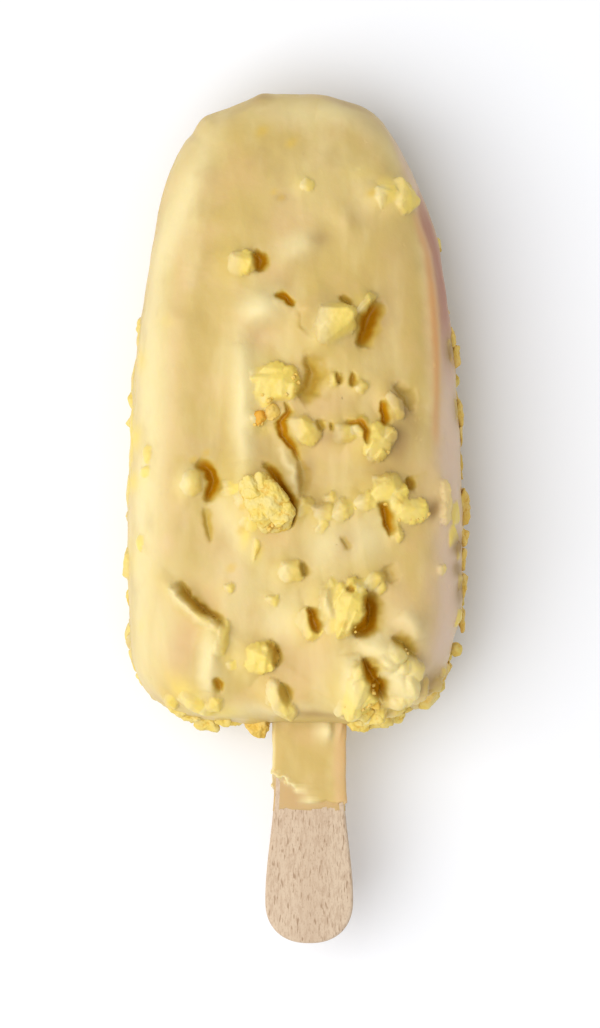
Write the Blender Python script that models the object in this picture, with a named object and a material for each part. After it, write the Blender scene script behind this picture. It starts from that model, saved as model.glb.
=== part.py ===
"""An ice lolly: ice cream in a set coating with chopped crumbs in it, on a flat wooden stick, lying on its back.

Frame: metres, +Z up. The lolly lies along Y with its rounded tip at +Y and the stick's handle at -Y.
The origin is on the surface that it lies on, under the middle of its whole length.
"""

import math
import random

import bmesh
import bpy
from mathutils import Matrix, Vector

MM = 0.001
GAP = 0.3 * MM

# Outline of the coated ice cream, seen from above: a superellipse on each side of its widest level.
TIP_Y = 59.0 * MM
WIDEST_Y = -5.8 * MM
BASE_Y = -28.4 * MM
HALF_WIDTH = 23.2 * MM
SIDE_POWER = 3.4
TIP_POWER = 2.2
BASE_POWER = 5.0

# The outline is drawn over to the left at its tip and at the corner right of the stick.
TIP_LEAN = -0.7 * MM
TIP_LEAN_FROM = 38.0 * MM
TIP_LEAN_OVER = 12.0 * MM
CORNER_LEAN = -1.5 * MM
CORNER_FROM_X = 6.0 * MM
CORNER_OVER_X = 14.0 * MM
CORNER_FROM_Y = -12.0 * MM
CORNER_OVER_Y = 11.0 * MM

# Section across it: a nearly flat face that rolls over into the sides, and a flat foot to lie on.
HALF_THICKNESS = 12.2 * MM
FACE_POWER = 1.7
EDGE_POWER = 2.1
FOOT_DEPTH = 0.35 * MM
MIDDLE_Z = HALF_THICKNESS - FOOT_DEPTH

# Mesh fineness of the shell: sections along it, points round each, and samples for even spacing.
SECTIONS = 34
SECTION_POINTS = 40
CURVE_SAMPLES = 1500

# Wooden stick, 2 mm sheet cut to a spatula, its upper two thirds inside the ice cream.
STICK_X = 1.9 * MM
STICK_END_Y = -59.0 * MM
STICK_TOP_Y = 34.0 * MM
STICK_HALF_THICKNESS = 1.0 * MM
STICK_NECK_HALF = 4.8 * MM
STICK_HANDLE_HALF = 6.1 * MM
STICK_NECK_Y = -36.5 * MM
STICK_WIDEST_Y = -53.0 * MM
STICK_END_POWER = 2.3
STICK_TOP_ROUND = 4.0 * MM
STICK_EDGE = 0.35 * MM
STICK_EDGE_ANGLE = math.radians(60)
STICK_STEPS = 9

# Thin run of coating on the stick below the ice cream, with an uneven lower rim.
GLAZE_TOP_Y = -26.9 * MM
GLAZE_RIM_Y = -39.6 * MM
GLAZE_RIM_SLOPE = 0.5 * MM
GLAZE_RIM_WAVE = 0.6 * MM
GLAZE_RIM_WAVES = 3
GLAZE_RIM_PHASE = 1.0
GLAZE_WALL = 0.4 * MM
GLAZE_POINTS = 28
GLAZE_CORNER_POWER = 6.0
GLAZE_SHARES = (0, 0.5, 1)

# How crumbs are cut: the share sunk in the coating, corners, squareness and unevenness.
SINK = 0.42
CRUMB_POINTS = 13
BIT_POINTS = 9
CRUMB_SQUARENESS = 3.2
CRUMB_JITTER = 0.45
LEVEL_JITTER = CRUMB_JITTER / 4
HIGHEST_CORNER = 0.97
CORNER_REACH = (0.96, 1.12)

# Small bits, and the grains on a rough crumb: widths and heights as shares of their length.
BIT_WIDTH = 0.8
BIT_HEIGHT = 0.5
GRAINS = 4
GRAIN_SIZES = (0.32, 0.46)
GRAIN_RING = 0.36
GRAIN_LIFT = 0.5
GRAIN_WIDTH = 0.8
GRAIN_HEIGHT = 0.45

# Crumbs scattered over the back.
BACK_CRUMBS = 36
BACK_SEED = 7
BACK_SIZES = (1.8 * MM, 4.2 * MM)
BACK_REACH = (0.25, 0.92)
BACK_CLEARANCE = 0.35 * MM
BACK_WIDTH = 0.75
BACK_HEIGHT = 0.45
BACK_LEAST_HEIGHT = 0.5 * MM

# Steps over which the slope of the shell and the run of the outline are taken.
SLOPE_STEP = 0.2 * MM
TURN_STEP = 0.01

# Broad forms of the face: x, y, length, width and height in millimetres, turn of the length in degrees.
FACE_FORMS = {
    "upper_swell": (0.9, 37.4, 6.0, 3.2, 0.8, 32),
    "upper_right_swell": (6.5, 41.3, 5.0, 2.6, 0.5, -60),
    "cream_dome": (-4.4, 28.8, 6.6, 5.2, 1.3, 10),
    "dome_hollow": (-4.9, 24.8, 4.0, 3.6, -0.4, 0),
    "cream_ridge": (-7.4, 15.6, 22.0, 4.4, 0.7, 92),
    "golden_valley": (-11.6, 20.0, 60.0, 7.0, -0.5, 88),
    "rim_groove": (-16.8, 20.0, 50.0, 2.6, -0.25, 84),
    "left_step": (-16.9, 27.6, 5.0, 3.0, 0.4, -30),
    "left_lump": (-14.2, 4.9, 6.0, 4.6, 1.6, 75),
    "left_hollow": (-10.2, 10.9, 6.0, 5.0, -0.5, 0),
    "trench": (-14.0, -11.0, 12.0, 3.0, -0.7, -42),
    "low_left_ridge": (-10.8, -19.4, 14.0, 4.0, 1.1, 86),
    "low_hollow": (-14.5, -18.0, 8.0, 4.0, -0.4, 80),
    "nugget_apron": (5.6, 27.0, 10.0, 8.0, 0.8, 70),
    "nugget_shade": (9.8, 26.4, 6.5, 4.2, -0.8, 90),
    "slab_shade": (2.2, 20.4, 6.0, 5.0, -0.7, 60),
    "middle_valley": (0.4, 7.4, 14.0, 4.4, -0.7, -50),
    "middle_bank": (8.6, 12.0, 14.0, 7.0, 0.8, -5),
    "band_bank": (8.6, 0.8, 18.0, 6.0, 0.9, 8),
    "middle_dome": (8.8, -3.6, 8.0, 6.0, 0.8, 60),
    "chunk_apron": (-4.2, 2.0, 11.0, 8.0, 0.7, -52),
    "right_edge": (18.6, 24.0, 34.0, 5.0, 0.6, 93),
    "right_low_edge": (18.0, -8.0, 16.0, 5.0, 0.6, 86),
    "split_apron": (5.6, -12.2, 12.0, 8.0, 1.0, 80),
    "split_shade": (10.2, -12.4, 7.0, 3.2, -0.8, 84),
    "right_swell": (16.4, -15.2, 8.0, 4.4, 0.9, -50),
    "cluster_bank": (11.6, -22.0, 16.0, 12.0, 1.8, -30),
    "low_peach_hollow": (0.8, -20.0, 8.0, 6.0, -0.5, 60),
    "stick_root": (0.6, -25.6, 12.0, 5.0, 0.6, 0),
}

# Crumbs on the face: x, y, length, width and height in millimetres, turn of the length in degrees.
FACE_CRUMBS = {
    "corner_chip": (14.5, 44.2, 4.4, 3.6, 2.5, -50),
    "corner_chip_foot": (12.1, 44.0, 3.2, 2.8, 1.9, 80),
    "tip_bead": (1.6, 45.8, 2.0, 1.6, 0.7, -30),
    "upper_nugget": (-7.2, 34.9, 3.5, 3.1, 2.2, 20),
    "tall_nugget": (5.4, 26.8, 5.8, 5.0, 3.8, 70),
    "upright_blade": (9.7, 29.4, 3.6, 1.5, 2.6, 58),
    "slanted_nugget": (1.2, 12.2, 4.6, 3.1, 2.2, -38),
    "orange_bit": (-5.0, 13.7, 2.1, 1.9, 1.3, 10),
    "brown_grain": (-3.2, 14.6, 2.0, 1.8, 1.3, 40),
    "pit_ridge_left": (5.2, 19.0, 1.9, 1.3, 1.0, 75),
    "pit_ridge_right": (9.0, 18.0, 1.9, 1.4, 1.0, 60),
    "middle_grain": (6.7, 11.6, 3.0, 2.5, 1.8, 15),
    "middle_grain_upper": (8.9, 12.6, 2.8, 2.0, 1.4, 60),
    "shard_top": (13.6, 15.4, 3.6, 1.8, 1.9, -65),
    "pointing_leg": (13.9, -1.6, 3.2, 1.2, 1.3, -72),
    "right_blade": (20.2, 2.8, 5.2, 1.6, 1.8, 88),
    "band_crumb_left": (1.2, 1.5, 2.9, 2.2, 1.4, 70),
    "band_crumb_middle": (4.0, 0.9, 2.8, 2.3, 1.6, 10),
    "band_crumb_right": (6.5, 1.2, 2.9, 2.4, 1.7, 50),
    "band_crumb_end": (9.6, 2.4, 2.8, 2.2, 1.6, 30),
    "chunk_rim": (-8.8, 3.9, 3.0, 1.6, 1.0, 10),
    "lump_cap": (-14.2, 4.9, 3.4, 2.4, 1.4, 75),
    "slanted_shard": (-13.0, -12.0, 8.4, 2.0, 1.9, -44),
    "shard_tail": (-10.0, -16.4, 4.6, 1.8, 1.2, 80),
    "small_crumb": (-0.6, -7.2, 3.4, 2.6, 1.6, 8),
    "split_chunk_ridge": (4.2, -11.6, 5.4, 2.0, 2.0, 84),
    "lower_crumb": (1.9, -14.6, 4.2, 2.6, 2.0, -62),
    "right_grain": (10.8, -8.4, 3.2, 2.0, 1.6, 40),
    "cluster_middle": (10.9, -26.6, 3.2, 2.2, 2.2, 70),
    "cluster_point": (9.2, -28.2, 2.8, 1.9, 2.0, -70),
    "arm_knob": (13.8, -18.5, 2.9, 2.6, 2.4, 0),
    "arm_knob_outer": (16.1, -20.4, 2.8, 2.5, 2.2, -30),
    "arm_plate": (15.4, -22.7, 3.8, 2.2, 2.4, -72),
    "arm_foot": (13.8, -24.8, 2.6, 2.2, 2.0, 20),
    "outer_shard": (17.1, -23.8, 4.2, 1.2, 1.8, -82),
    "tan_shard": (13.8, -26.6, 3.6, 1.6, 1.6, -30),
    "corner_crumb_upper": (19.2, -22.6, 2.8, 2.0, 1.4, -40),
    "stick_root_ridge": (-1.9, -25.4, 6.4, 2.2, 1.7, -68),
    "corner_ridge": (-13.2, -25.4, 5.4, 2.2, 1.5, -48),
    "corner_crumb": (-16.9, -25.0, 2.8, 1.8, 1.3, 70),
}

# Rough crumbs, each a chunk with smaller grains on it, in the same terms.
ROUGH_CRUMBS = {
    "grainy_slab": (-2.6, 18.4, 6.4, 4.0, 2.0, 20),
    "standing_shard": (11.4, 10.6, 4.6, 3.4, 2.3, 78),
    "biscuit_chunk": (-3.9, 2.2, 8.2, 5.2, 2.8, -60),
    "side_crumb": (12.8, 3.8, 4.4, 3.8, 2.2, 30),
    "pointing_crumb": (15.8, 1.0, 4.8, 2.8, 2.0, 6),
    "golden_nugget": (-4.7, -19.0, 4.2, 3.8, 2.6, 30),
    "split_chunk_plate": (7.4, -12.4, 7.0, 3.8, 3.0, 82),
    "cluster_left": (8.8, -23.6, 6.4, 3.8, 2.6, 82),
}

# Small bits stuck on the face: x and y in millimetres and the size of each.
FACE_BITS = {
    "bit_beside_chunk_a": (-9.1, 4.3, 1.8),
    "bit_under_chunk": (-6.6, -0.8, 2.2),
    "bit_beside_slanted_a": (3.4, 12.7, 1.7),
    "bit_upper_right": (15.4, 45.6, 1.6),
    "bit_low_middle": (-3.1, -11.2, 1.8),
    "bit_low_left": (-9.1, -9.6, 1.7),
    "bit_lower_left": (-8.8, -20.0, 1.5),
    "bit_right_side": (20.0, -7.0, 1.8),
    "bit_by_arm": (11.0, -20.4, 2.0),
    "bit_by_cluster": (7.1, -27.0, 2.2),
    "bit_right_corner": (20.7, -21.0, 1.7),
    "bit_right_corner_low": (17.3, -26.0, 2.4),
}

# Crumbs on the rim: side (-1 left, 1 right), y, height over the middle plane, length, width and height in mm.
SIDE_CRUMBS = {
    "left_bead_upper": (-1, 25.4, 1.0, 3.2, 2.0, 0.9),
    "left_bump": (-1, 19.4, 0.5, 4.6, 2.6, 0.8),
    "left_flake_a": (-1, 13.2, 2.0, 4.4, 2.4, 0.9),
    "left_flake_b": (-1, 8.8, 3.0, 4.6, 3.0, 0.9),
    "left_flake_c": (-1, 3.6, 1.5, 4.4, 2.6, 0.8),
    "left_chip": (-1, -6.4, 2.0, 4.2, 2.8, 1.1),
    "left_low_bit": (-1, -18.6, 1.0, 2.2, 1.8, 0.7),
    "left_under_a": (-1, 32.0, -4.0, 3.4, 2.4, 0.9),
    "left_under_b": (-1, -1.0, -4.5, 3.8, 2.8, 1.0),
    "left_under_c": (-1, -12.6, -4.0, 3.0, 2.4, 0.9),
    "right_bead_upper": (1, 38.0, 0.5, 2.4, 1.8, 0.8),
    "right_bit_a": (1, 25.4, 2.0, 2.8, 2.0, 0.9),
    "right_bit_b": (1, 22.8, 1.0, 3.2, 2.2, 1.0),
    "right_flake": (1, 14.8, 1.0, 3.6, 2.2, 1.1),
    "right_bit_c": (1, 11.6, 0.5, 3.0, 2.0, 0.8),
    "right_slab": (1, 1.8, 0.5, 5.2, 3.2, 1.2),
    "right_chunk": (1, -2.4, 2.4, 3.0, 2.4, 1.1),
    "right_bit_d": (1, -5.6, 1.6, 3.0, 2.2, 0.9),
    "right_bit_e": (1, -9.4, 1.5, 3.4, 2.0, 0.9),
    "right_low_flake": (1, -13.8, 0.0, 3.6, 2.2, 1.0),
    "right_under_a": (1, 30.6, -4.5, 3.2, 2.4, 0.9),
    "right_under_b": (1, 7.6, -4.5, 4.0, 2.8, 1.0),
    "right_corner_a": (1, -21.2, 0.5, 3.2, 2.0, 1.0),
    "right_corner_b": (1, -24.0, 1.0, 3.8, 2.4, 1.1),
}

# Crumbs on the end round the stick: x, height over the middle plane, length, width and height in mm.
BASE_CRUMBS = {
    "hanging_left": (-12.9, 0.0, 3.8, 2.6, 1.3),
    "beside_stick": (-5.2, 1.5, 3.2, 2.6, 2.4),
    "under_cluster_a": (9.2, 3.6, 3.2, 2.6, 1.8),
    "under_cluster_b": (12.0, 2.4, 3.4, 3.0, 1.5),
    "under_cluster_c": (14.8, 0.5, 3.6, 2.6, 1.3),
    "base_low_left": (-9.0, -4.6, 3.4, 2.4, 1.2),
    "base_low_middle": (1.0, -6.0, 3.2, 2.4, 1.1),
    "base_low_right": (11.0, -4.8, 3.4, 2.6, 1.2),
}


def clear_scene():
    """Removes whatever the file opened with."""
    for obj in list(bpy.data.objects):
        bpy.data.objects.remove(obj)


def material(name, colour, roughness):
    """A plain Principled material of one colour."""
    made = bpy.data.materials.new(name)
    made.use_nodes = True
    shader = made.node_tree.nodes["Principled BSDF"]
    shader.inputs["Base Color"].default_value = (*colour, 1.0)
    shader.inputs["Roughness"].default_value = roughness
    shader.inputs["Metallic"].default_value = 0.0
    return made


def signed_power(value, power):
    """A power of the size of a number that keeps its sign."""
    return math.copysign(abs(value) ** power, value)


def reach(y_side):
    """Length from the widest level to the tip or the base, and that end's power."""
    if y_side >= 0:
        return TIP_Y - WIDEST_Y, TIP_POWER
    return WIDEST_Y - BASE_Y, BASE_POWER


def end_level(y):
    """0 at the widest level, 1 at the tip and at the base."""
    length, power = reach(y - WIDEST_Y)
    return (abs(y - WIDEST_Y) / length) ** power


def half_width(y):
    """Half the width of the outline at a level."""
    return HALF_WIDTH * max(0.0, 1 - end_level(y)) ** (1 / SIDE_POWER)


def half_thickness(x, y):
    """Height of the smooth shell over its middle plane at a place inside the outline."""
    level = (abs(x) / HALF_WIDTH) ** SIDE_POWER + end_level(y)
    return HALF_THICKNESS * max(0.0, 1 - level**FACE_POWER) ** (1 / EDGE_POWER)


def outline_point(angle, level=1.0):
    """A point of the outline, or of the same outline drawn at a level inside it."""
    length, power = reach(math.sin(angle))
    x = HALF_WIDTH * signed_power(math.cos(angle), 2 / SIDE_POWER) * level ** (1 / SIDE_POWER)
    y = WIDEST_Y + length * signed_power(math.sin(angle), 2 / power) * level ** (1 / power)
    return x, y


def smoothstep(share):
    """An even rise from 0 to 1."""
    share = max(0.0, min(1.0, share))
    return share * share * (3 - 2 * share)


def lean(x, y):
    """How far a point is drawn over to the left."""
    tip = TIP_LEAN * smoothstep((y - TIP_LEAN_FROM) / TIP_LEAN_OVER)
    across = smoothstep((x - CORNER_FROM_X) / CORNER_OVER_X)
    down = smoothstep((CORNER_FROM_Y - y) / CORNER_OVER_Y)
    return tip + CORNER_LEAN * across * down


def face_relief(x, y):
    """Height that the broad forms add to the face."""
    total = 0.0
    for form_x, form_y, length, width, height, turn in FACE_FORMS.values():
        along = math.cos(math.radians(turn))
        across = math.sin(math.radians(turn))
        off_x = x - form_x * MM
        off_y = y - form_y * MM
        u = (off_x * along + off_y * across) / (length * MM / 2)
        v = (off_y * along - off_x * across) / (width * MM / 2)
        total += height * MM * math.exp(-(u * u + v * v))
    return total * half_thickness(x - lean(x, y), y) / HALF_THICKNESS


def spaced(points, count):
    """Points of a finely sampled curve that cut it into a number of equal lengths, both ends included."""
    walked = [0.0]
    for here, there in zip(points, points[1:]):
        walked.append(walked[-1] + math.dist(here, there))
    chosen = []
    index = 0
    for i in range(count):
        while walked[index] < walked[-1] * i / count:
            index += 1
        chosen.append(points[index])
    return chosen + [points[-1]]


def section_levels():
    """Levels from the base to the tip, evenly spaced along the outline."""
    turns = [math.pi * (i / CURVE_SAMPLES - 0.5) for i in range(CURVE_SAMPLES + 1)]
    return [y for _, y in spaced([outline_point(t) for t in turns], SECTIONS)]


def section_ring(bm, y):
    """One closed section across the shell: over the face from left to right and back underneath."""
    edge = half_width(y)
    turns = [math.pi * i / CURVE_SAMPLES for i in range(CURVE_SAMPLES + 1)]
    fine = [(-edge * math.cos(t), half_thickness(edge * math.cos(t), y)) for t in turns]
    across = spaced(fine, SECTION_POINTS // 2)
    leaned = [(x + lean(x, y), h) for x, h in across]
    ring = [bm.verts.new((x, y, MIDDLE_Z + h + face_relief(x, y))) for x, h in leaned]
    ring += [bm.verts.new((x, y, max(0.0, MIDDLE_Z - h))) for x, h in reversed(leaned[1:-1])]
    return ring


def shell_mesh():
    """The ice cream without its crumbs: sections joined from the base to the tip."""
    bm = bmesh.new()
    levels = section_levels()
    rings = [section_ring(bm, y) for y in levels[1:-1]]
    for lower, upper in zip(rings, rings[1:]):
        join_rings(bm, lower, upper)
    for y, ring in ((levels[0], rings[0]), (levels[-1], rings[-1])):
        pole = bm.verts.new((lean(0, y), y, MIDDLE_Z))
        for i, vert in enumerate(ring):
            bm.faces.new((pole, vert, ring[(i + 1) % len(ring)]))
    return finished(bm, "shell")


def join_rings(bm, lower, upper):
    """Faces between two closed rings of as many points."""
    for i in range(len(lower)):
        after = (i + 1) % len(lower)
        bm.faces.new((lower[i], upper[i], upper[after], lower[after]))


def finished(bm, name):
    """Closes a bmesh into a mesh with its faces pointing out."""
    bmesh.ops.recalc_face_normals(bm, faces=bm.faces)
    mesh = bpy.data.meshes.new(name)
    bm.to_mesh(mesh)
    bm.free()
    return mesh


def placed(name, mesh, collection):
    """Links a mesh into a collection as an object."""
    obj = bpy.data.objects.new(name, mesh)
    collection.objects.link(obj)
    return obj


def frame_at(point, normal, turn):
    """A matrix that stands a piece on the shell: its Z along the normal, its X turned from +X."""
    along = Vector((math.cos(turn), math.sin(turn), 0))
    z_axis = normal.normalized()
    y_axis = z_axis.cross(along).normalized()
    x_axis = y_axis.cross(z_axis)
    turned = Matrix((x_axis, y_axis, z_axis)).transposed().to_4x4()
    return Matrix.Translation(point) @ turned


def face_frame(x, y, turn, side=1):
    """A frame on the face (side 1) or on the back (side -1)."""
    unleaned = x - lean(x, y)
    step = SLOPE_STEP
    slope_x = (half_thickness(unleaned + step, y) - half_thickness(unleaned - step, y)) / (2 * step)
    slope_y = (half_thickness(unleaned, y + step) - half_thickness(unleaned, y - step)) / (2 * step)
    lift = face_relief(x, y) if side > 0 else 0.0
    point = Vector((x, y, MIDDLE_Z + side * half_thickness(unleaned, y) + lift))
    return frame_at(point, Vector((-slope_x, -slope_y, side)), turn)


def rim_frame(angle, lift):
    """A frame on the rolled edge at an outline angle, lifted from the middle plane."""
    level = (1 - (abs(lift) / HALF_THICKNESS) ** EDGE_POWER) ** (1 / FACE_POWER)
    x, y = outline_point(angle, level)
    along = Vector(outline_point(angle + TURN_STEP, level)) - Vector(outline_point(angle - TURN_STEP, level))
    along.normalize()
    outward = Vector((along.y, -along.x, lift / HALF_THICKNESS))
    point = Vector((x + lean(x, y), y, MIDDLE_Z + lift))
    return frame_at(point, outward, math.atan2(along.y, along.x))


def side_angle(side, y):
    """The outline angle of a place on the left or the right side."""
    length, power = reach(y - WIDEST_Y)
    angle = math.asin(signed_power((y - WIDEST_Y) / length, power / 2))
    return angle if side > 0 else math.pi - angle


def base_angle(x):
    """The outline angle of a place on the end round the stick."""
    return -math.acos(signed_power(x / HALF_WIDTH, SIDE_POWER / 2))


def crumb_mesh(name, length, width, height, corners=CRUMB_POINTS):
    """A chopped crumb: the hull of uneven points on a squarish lump, its height standing out of the coating."""
    draw = random.Random(name)
    depth = height / (1 - SINK)
    golden = math.pi * (3 - math.sqrt(5))
    bm = bmesh.new()
    for i in range(corners):
        spin = i * golden + draw.uniform(-CRUMB_JITTER, CRUMB_JITTER)
        z = 1 - (2 * i + 1) / corners + draw.uniform(-LEVEL_JITTER, LEVEL_JITTER)
        z = max(-HIGHEST_CORNER, min(HIGHEST_CORNER, z))
        flat = math.sqrt(1 - z * z)
        way = Vector((flat * math.cos(spin), flat * math.sin(spin), z))
        size = sum(abs(c) ** CRUMB_SQUARENESS for c in way) ** (-1 / CRUMB_SQUARENESS)
        way *= size * draw.uniform(*CORNER_REACH)
        bm.verts.new((way.x * length / 2, way.y * width / 2, height - depth / 2 + way.z * depth / 2))
    bmesh.ops.convex_hull(bm, input=bm.verts)
    return finished(bm, name)


def place_crumb(collection, matrix, name, length, width, height, corners=CRUMB_POINTS):
    """Makes a crumb and stands it in its frame."""
    placed(name, crumb_mesh(name, length, width, height, corners), collection).matrix_world = matrix


def place_rough_crumb(collection, name, x, y, length, width, height, turn):
    """A chunk with smaller grains on its upper side."""
    draw = random.Random(name)
    matrix = face_frame(x, y, turn)
    place_crumb(collection, matrix, name, length, width, height)
    for i in range(GRAINS):
        spin = 2 * math.pi * (i + draw.random()) / GRAINS
        size = length * draw.uniform(*GRAIN_SIZES)
        across = math.cos(spin) * length * GRAIN_RING
        along = math.sin(spin) * width * GRAIN_RING
        grain = matrix @ Matrix.Translation(Vector((across, along, height * GRAIN_LIFT)))
        place_crumb(collection, grain, f"{name}_{i}", size, size * GRAIN_WIDTH, size * GRAIN_HEIGHT, BIT_POINTS)


def add_face_crumbs(collection):
    """Everything that is stuck on the face."""
    for name, (x, y, length, width, height, turn) in FACE_CRUMBS.items():
        matrix = face_frame(x * MM, y * MM, math.radians(turn))
        place_crumb(collection, matrix, name, length * MM, width * MM, height * MM)
    for name, (x, y, length, width, height, turn) in ROUGH_CRUMBS.items():
        place_rough_crumb(
            collection, name, x * MM, y * MM, length * MM, width * MM, height * MM, math.radians(turn)
        )
    for name, (x, y, size) in FACE_BITS.items():
        matrix = face_frame(x * MM, y * MM, x)
        length = size * MM
        place_crumb(collection, matrix, name, length, length * BIT_WIDTH, length * BIT_HEIGHT, BIT_POINTS)


def add_rim_crumbs(collection):
    """Crumbs on the two sides and on the end round the stick."""
    for name, (side, y, lift, length, width, height) in SIDE_CRUMBS.items():
        matrix = rim_frame(side_angle(side, y * MM), lift * MM)
        place_crumb(collection, matrix, name, length * MM, width * MM, height * MM)
    for name, (x, lift, length, width, height) in BASE_CRUMBS.items():
        matrix = rim_frame(base_angle(x * MM), lift * MM)
        place_crumb(collection, matrix, name, length * MM, width * MM, height * MM)


def add_back_crumbs(collection):
    """Scatters crumbs over the back, more of them towards the stick, none lower than the foot."""
    draw = random.Random(BACK_SEED)
    made = 0
    while made < BACK_CRUMBS:
        x, y = outline_point(draw.uniform(0, 2 * math.pi), draw.uniform(*BACK_REACH))
        lowest = draw.triangular(BASE_Y, TIP_Y, BASE_Y)
        length = draw.uniform(*BACK_SIZES)
        turn = draw.uniform(0, math.pi)
        height = min(length * BACK_HEIGHT, MIDDLE_Z - half_thickness(x, y) - BACK_CLEARANCE)
        if y > lowest or height < BACK_LEAST_HEIGHT:
            continue
        matrix = face_frame(x, y, turn, side=-1)
        place_crumb(collection, matrix, f"back_crumb_{made:02d}", length, length * BACK_WIDTH, height)
        made += 1


def apply_boolean(obj, operation, collection):
    """Joins or cuts an object with all that a collection holds, then removes the collection."""
    modifier = obj.modifiers.new(operation.lower(), "BOOLEAN")
    modifier.operation = operation
    modifier.operand_type = "COLLECTION"
    modifier.collection = collection
    modifier.solver = "EXACT"
    bpy.context.view_layer.update()
    seen = obj.evaluated_get(bpy.context.evaluated_depsgraph_get())
    mesh = bpy.data.meshes.new_from_object(seen)
    obj.modifiers.clear()
    obj.data = mesh
    for used in list(collection.objects):
        bpy.data.objects.remove(used)
    bpy.data.collections.remove(collection)


def scratch_collection(name):
    """A collection in the scene for pieces that a Boolean uses up."""
    collection = bpy.data.collections.new(name)
    bpy.context.scene.collection.children.link(collection)
    return collection


def stick_half_width(y):
    """Half the stick's width between its two round ends."""
    share = (STICK_NECK_Y - y) / (STICK_NECK_Y - STICK_WIDEST_Y)
    return STICK_NECK_HALF + (STICK_HANDLE_HALF - STICK_NECK_HALF) * smoothstep(share)


def stick_outline(grow):
    """Half of the stick's outline from the handle's end to its top, as half widths at heights."""
    quarter = [math.pi / 2 * i / STICK_STEPS for i in range(STICK_STEPS + 1)]
    power = 2 / STICK_END_POWER
    points = []
    for turn in quarter:
        y = STICK_WIDEST_Y - (STICK_WIDEST_Y - STICK_END_Y + grow) * math.cos(turn) ** power
        points.append(((STICK_HANDLE_HALF + grow) * math.sin(turn) ** power, y))
    for i in range(1, STICK_STEPS + 1):
        y = STICK_WIDEST_Y + (STICK_NECK_Y - STICK_WIDEST_Y) * i / STICK_STEPS
        points.append((stick_half_width(y) + grow, y))
    for turn in quarter:
        y = STICK_TOP_Y + grow - STICK_TOP_ROUND * (1 - math.sin(turn) ** power)
        points.append(((STICK_NECK_HALF + grow) * max(0.0, math.cos(turn)) ** power, y))
    return points


def stick_mesh(name, grow=0.0):
    """A flat stick, extruded from its outline, or the slot for it when it is grown."""
    half = stick_outline(grow)
    outline = half + [(-w, y) for w, y in reversed(half[1:-1])]
    thick = STICK_HALF_THICKNESS + grow
    bm = bmesh.new()
    face = bm.faces.new([bm.verts.new((STICK_X + w, y, MIDDLE_Z - thick)) for w, y in outline])
    raised = bmesh.ops.extrude_face_region(bm, geom=[face])["geom"]
    corners = [v for v in raised if isinstance(v, bmesh.types.BMVert)]
    bmesh.ops.translate(bm, verts=corners, vec=(0, 0, 2 * thick))
    return finished(bm, name)


def glaze_rim(across, turn):
    """Where the glaze ends: a little lower on the right, and wavy."""
    wave = GLAZE_RIM_WAVE * math.sin(GLAZE_RIM_WAVES * turn + GLAZE_RIM_PHASE)
    return GLAZE_RIM_Y - GLAZE_RIM_SLOPE * across + wave


def glaze_ring(bm, share):
    """A ring round the stick, from the ice cream (share 0) to the glaze's rim (share 1)."""
    ring = []
    for i in range(GLAZE_POINTS):
        turn = 2 * math.pi * i / GLAZE_POINTS
        across = signed_power(math.cos(turn), 2 / GLAZE_CORNER_POWER)
        up = signed_power(math.sin(turn), 2 / GLAZE_CORNER_POWER)
        y = GLAZE_TOP_Y + (glaze_rim(across, turn) - GLAZE_TOP_Y) * share
        x = STICK_X + (stick_half_width(y) + GAP + GLAZE_WALL) * across
        z = MIDDLE_Z + (STICK_HALF_THICKNESS + GAP + GLAZE_WALL) * up
        ring.append(bm.verts.new((x, y, z)))
    return ring


def glaze_mesh():
    """The run of coating round the top of the bare stick, solid until the slot is cut."""
    bm = bmesh.new()
    rings = [glaze_ring(bm, share) for share in GLAZE_SHARES]
    for upper, lower in zip(rings, rings[1:]):
        join_rings(bm, lower, upper)
    bm.faces.new(rings[0])
    rim_centre = bm.verts.new((STICK_X, GLAZE_RIM_Y, MIDDLE_Z))
    for i, vert in enumerate(rings[-1]):
        bm.faces.new((rim_centre, vert, rings[-1][(i + 1) % GLAZE_POINTS]))
    return finished(bm, "stick_glaze")


def build_coated_ice_cream():
    """The ice cream in its coating, with the crumbs and the glaze fused on and the slot that holds the stick."""
    body = placed("coated_ice_cream", shell_mesh(), bpy.context.scene.collection)
    added = scratch_collection("added")
    add_face_crumbs(added)
    add_rim_crumbs(added)
    add_back_crumbs(added)
    placed("stick_glaze", glaze_mesh(), added)
    apply_boolean(body, "UNION", added)
    cutters = scratch_collection("cutters")
    placed("slot", stick_mesh("slot", grow=GAP), cutters)
    apply_boolean(body, "DIFFERENCE", cutters)
    body.data.materials.clear()
    body.data.materials.append(material("coating", (0.79, 0.60, 0.29), 0.45))


def build_stick():
    """The wooden stick with its edges rounded over."""
    stick = placed("stick", stick_mesh("stick"), bpy.context.scene.collection)
    edge = stick.modifiers.new("rounded_edge", "BEVEL")
    edge.width = STICK_EDGE
    edge.segments = 2
    edge.limit_method = "ANGLE"
    edge.angle_limit = STICK_EDGE_ANGLE
    stick.data.materials.append(material("birch", (0.66, 0.50, 0.35), 0.75))


clear_scene()
build_coated_ice_cream()
build_stick()
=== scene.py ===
"""The looks of an ice lolly: a satin cream coating full of chopped crumbs, on a pale wooden stick.

The coating, its glaze on the stick and the crumbs are modelled finely here. They replace the solid of the
ice cream and stay inside its box. The stick is cut again with worn edges and replaces its own solid. Lengths
are in millimetres until a mesh is made. The lolly lies on a white table and is seen from straight above.
"""

import logging
import math
import random
from dataclasses import dataclass, field
from enum import Enum

import bmesh
import bpy
import numpy as np
from mathutils import Matrix, Vector, noise


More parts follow.
